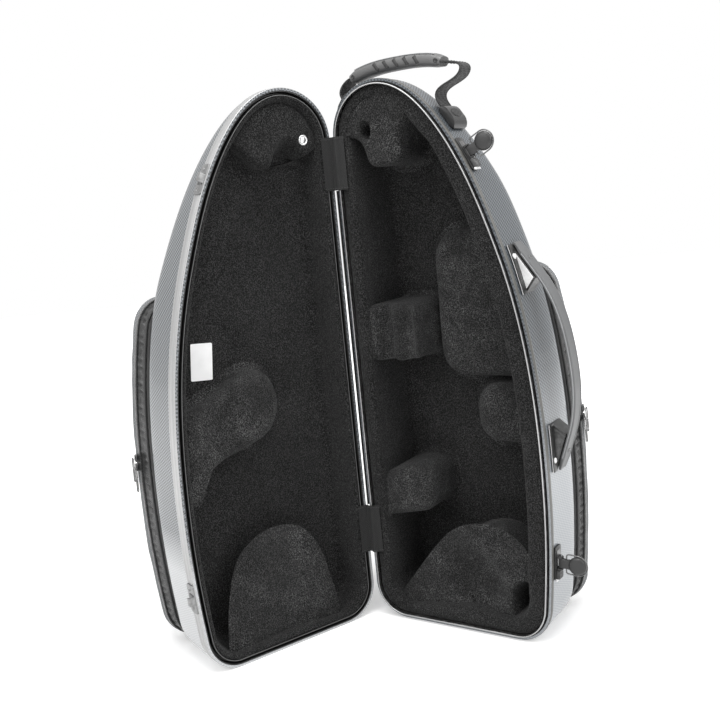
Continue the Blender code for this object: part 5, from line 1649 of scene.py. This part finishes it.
for half in halves.values():
    makePocket(half)
    for label in ("upper", "lower"):
        makeSlider(half, label)
for shape in shapes.values():
    bpy.data.objects.remove(shape)
print("pockets made")

# Hinge leaves and pins keep their solids and get a finish
bareFinishes = {
    "hinge_leaf_base": "metal",
    "hinge_leaf_lid": "metal",
    "hinge_pin": "wire",
    "latch_pin": "bright",
}
for node, finishName in bareFinishes.items():
    for label in ("upper", "lower"):
        for slot in frame["nodes"][f"{label}_{node}"].material_slots:
            slot.material = finishes[finishName]

# Camera, floor and light
view = {
    "position": (0.01441, -1.11412, 0.53738),
    "look": (-0.003786, 0.983248, -0.182236),
    "up": (0.0969, 0.18174, 0.978561),
    "lens": 47.5,
    "sensor": 36,
}
studio = {
    "floorSize": 8.0,
    "floorTone": (0.8, 0.8, 0.8, 1),
    "floorRoughness": 0.9,
    "floorLift": 0.3,
    "floorFade": (0.45, 1.1),
    "worldLight": 0.62,
    "aim": (0, 0, 0.3),
    "lamps": {  # place, size, watts
        "leftSoftbox": ((-1.6, -1.3, 1.7), 1.6, 22),
        "rightSoftbox": ((1.7, -0.9, 1.5), 1.4, 22),
        "topSoftbox": ((0.0, -0.5, 2.1), 1.3, 30),
    },
}
white = (1, 1, 1, 1)


def makeCamera():
    data = bpy.data.cameras.new("view")
    data.lens = view["lens"]
    data.sensor_width = view["sensor"]
    camera = linked("view", data)
    look, up = Vector(view["look"]).normalized(), Vector(view["up"])
    right = look.cross(up).normalized()
    camera.matrix_world = matrixOf(view["position"], right, right.cross(look), -look)
    bpy.context.scene.camera = camera


def seenDirectly(tree):
    # 1 for rays that should meet plain white: seen directly, in gloss or through glass
    path = addNode(tree, "LightPath").outputs
    seen = calc(tree, "ADD", path["Is Camera Ray"], path["Is Glossy Ray"])
    return calc(tree, "ADD", seen, path["Is Transmission Ray"], clamp=True)


def makeStudio():
    mesh = bpy.data.meshes.new("studioFloor")
    half = studio["floorSize"] / 2
    corners = [(-half, -half, 0), (half, -half, 0), (half, half, 0), (-half, half, 0)]
    mesh.from_pydata(corners, [], [(0, 1, 2, 3)])
    made, tree, where = newMaterial("paleFloor")
    away = addNode(tree, "VectorMath", {"Vector": where["Object"]}, operation="LENGTH").outputs["Value"]
    fade = spread(tree, away, *studio["floorFade"], studio["floorLift"], 1.0)
    setSockets(tree, tree.nodes["Principled BSDF"], {
        "Base Color": studio["floorTone"],
        "Roughness": studio["floorRoughness"],
        "Emission Color": white,
        "Emission Strength": times(tree, seenDirectly(tree), fade),
    })
    mesh.materials.append(made)
    linked("studioFloor", mesh)
    world = bpy.data.worlds.new("studioWorld")
    world.use_nodes = True
    bpy.context.scene.world = world
    tree = world.node_tree
    strength = spread(tree, seenDirectly(tree), 0.0, 1.0, studio["worldLight"], 1.0)
    setSockets(tree, tree.nodes["Background"], {"Strength": strength, "Color": white})
    for name, (spot, size, watts) in studio["lamps"].items():
        data = bpy.data.lights.new(name, "AREA")
        data.size = size
        data.energy = watts
        lamp = linked(name, data)
        lamp.location = spot
        lamp.rotation_euler = (Vector(studio["aim"]) - Vector(spot)).to_track_quat("-Z", "Y").to_euler()
    bpy.context.scene.view_settings.view_transform = "Standard"


makeCamera()
makeStudio()
print("studio made")
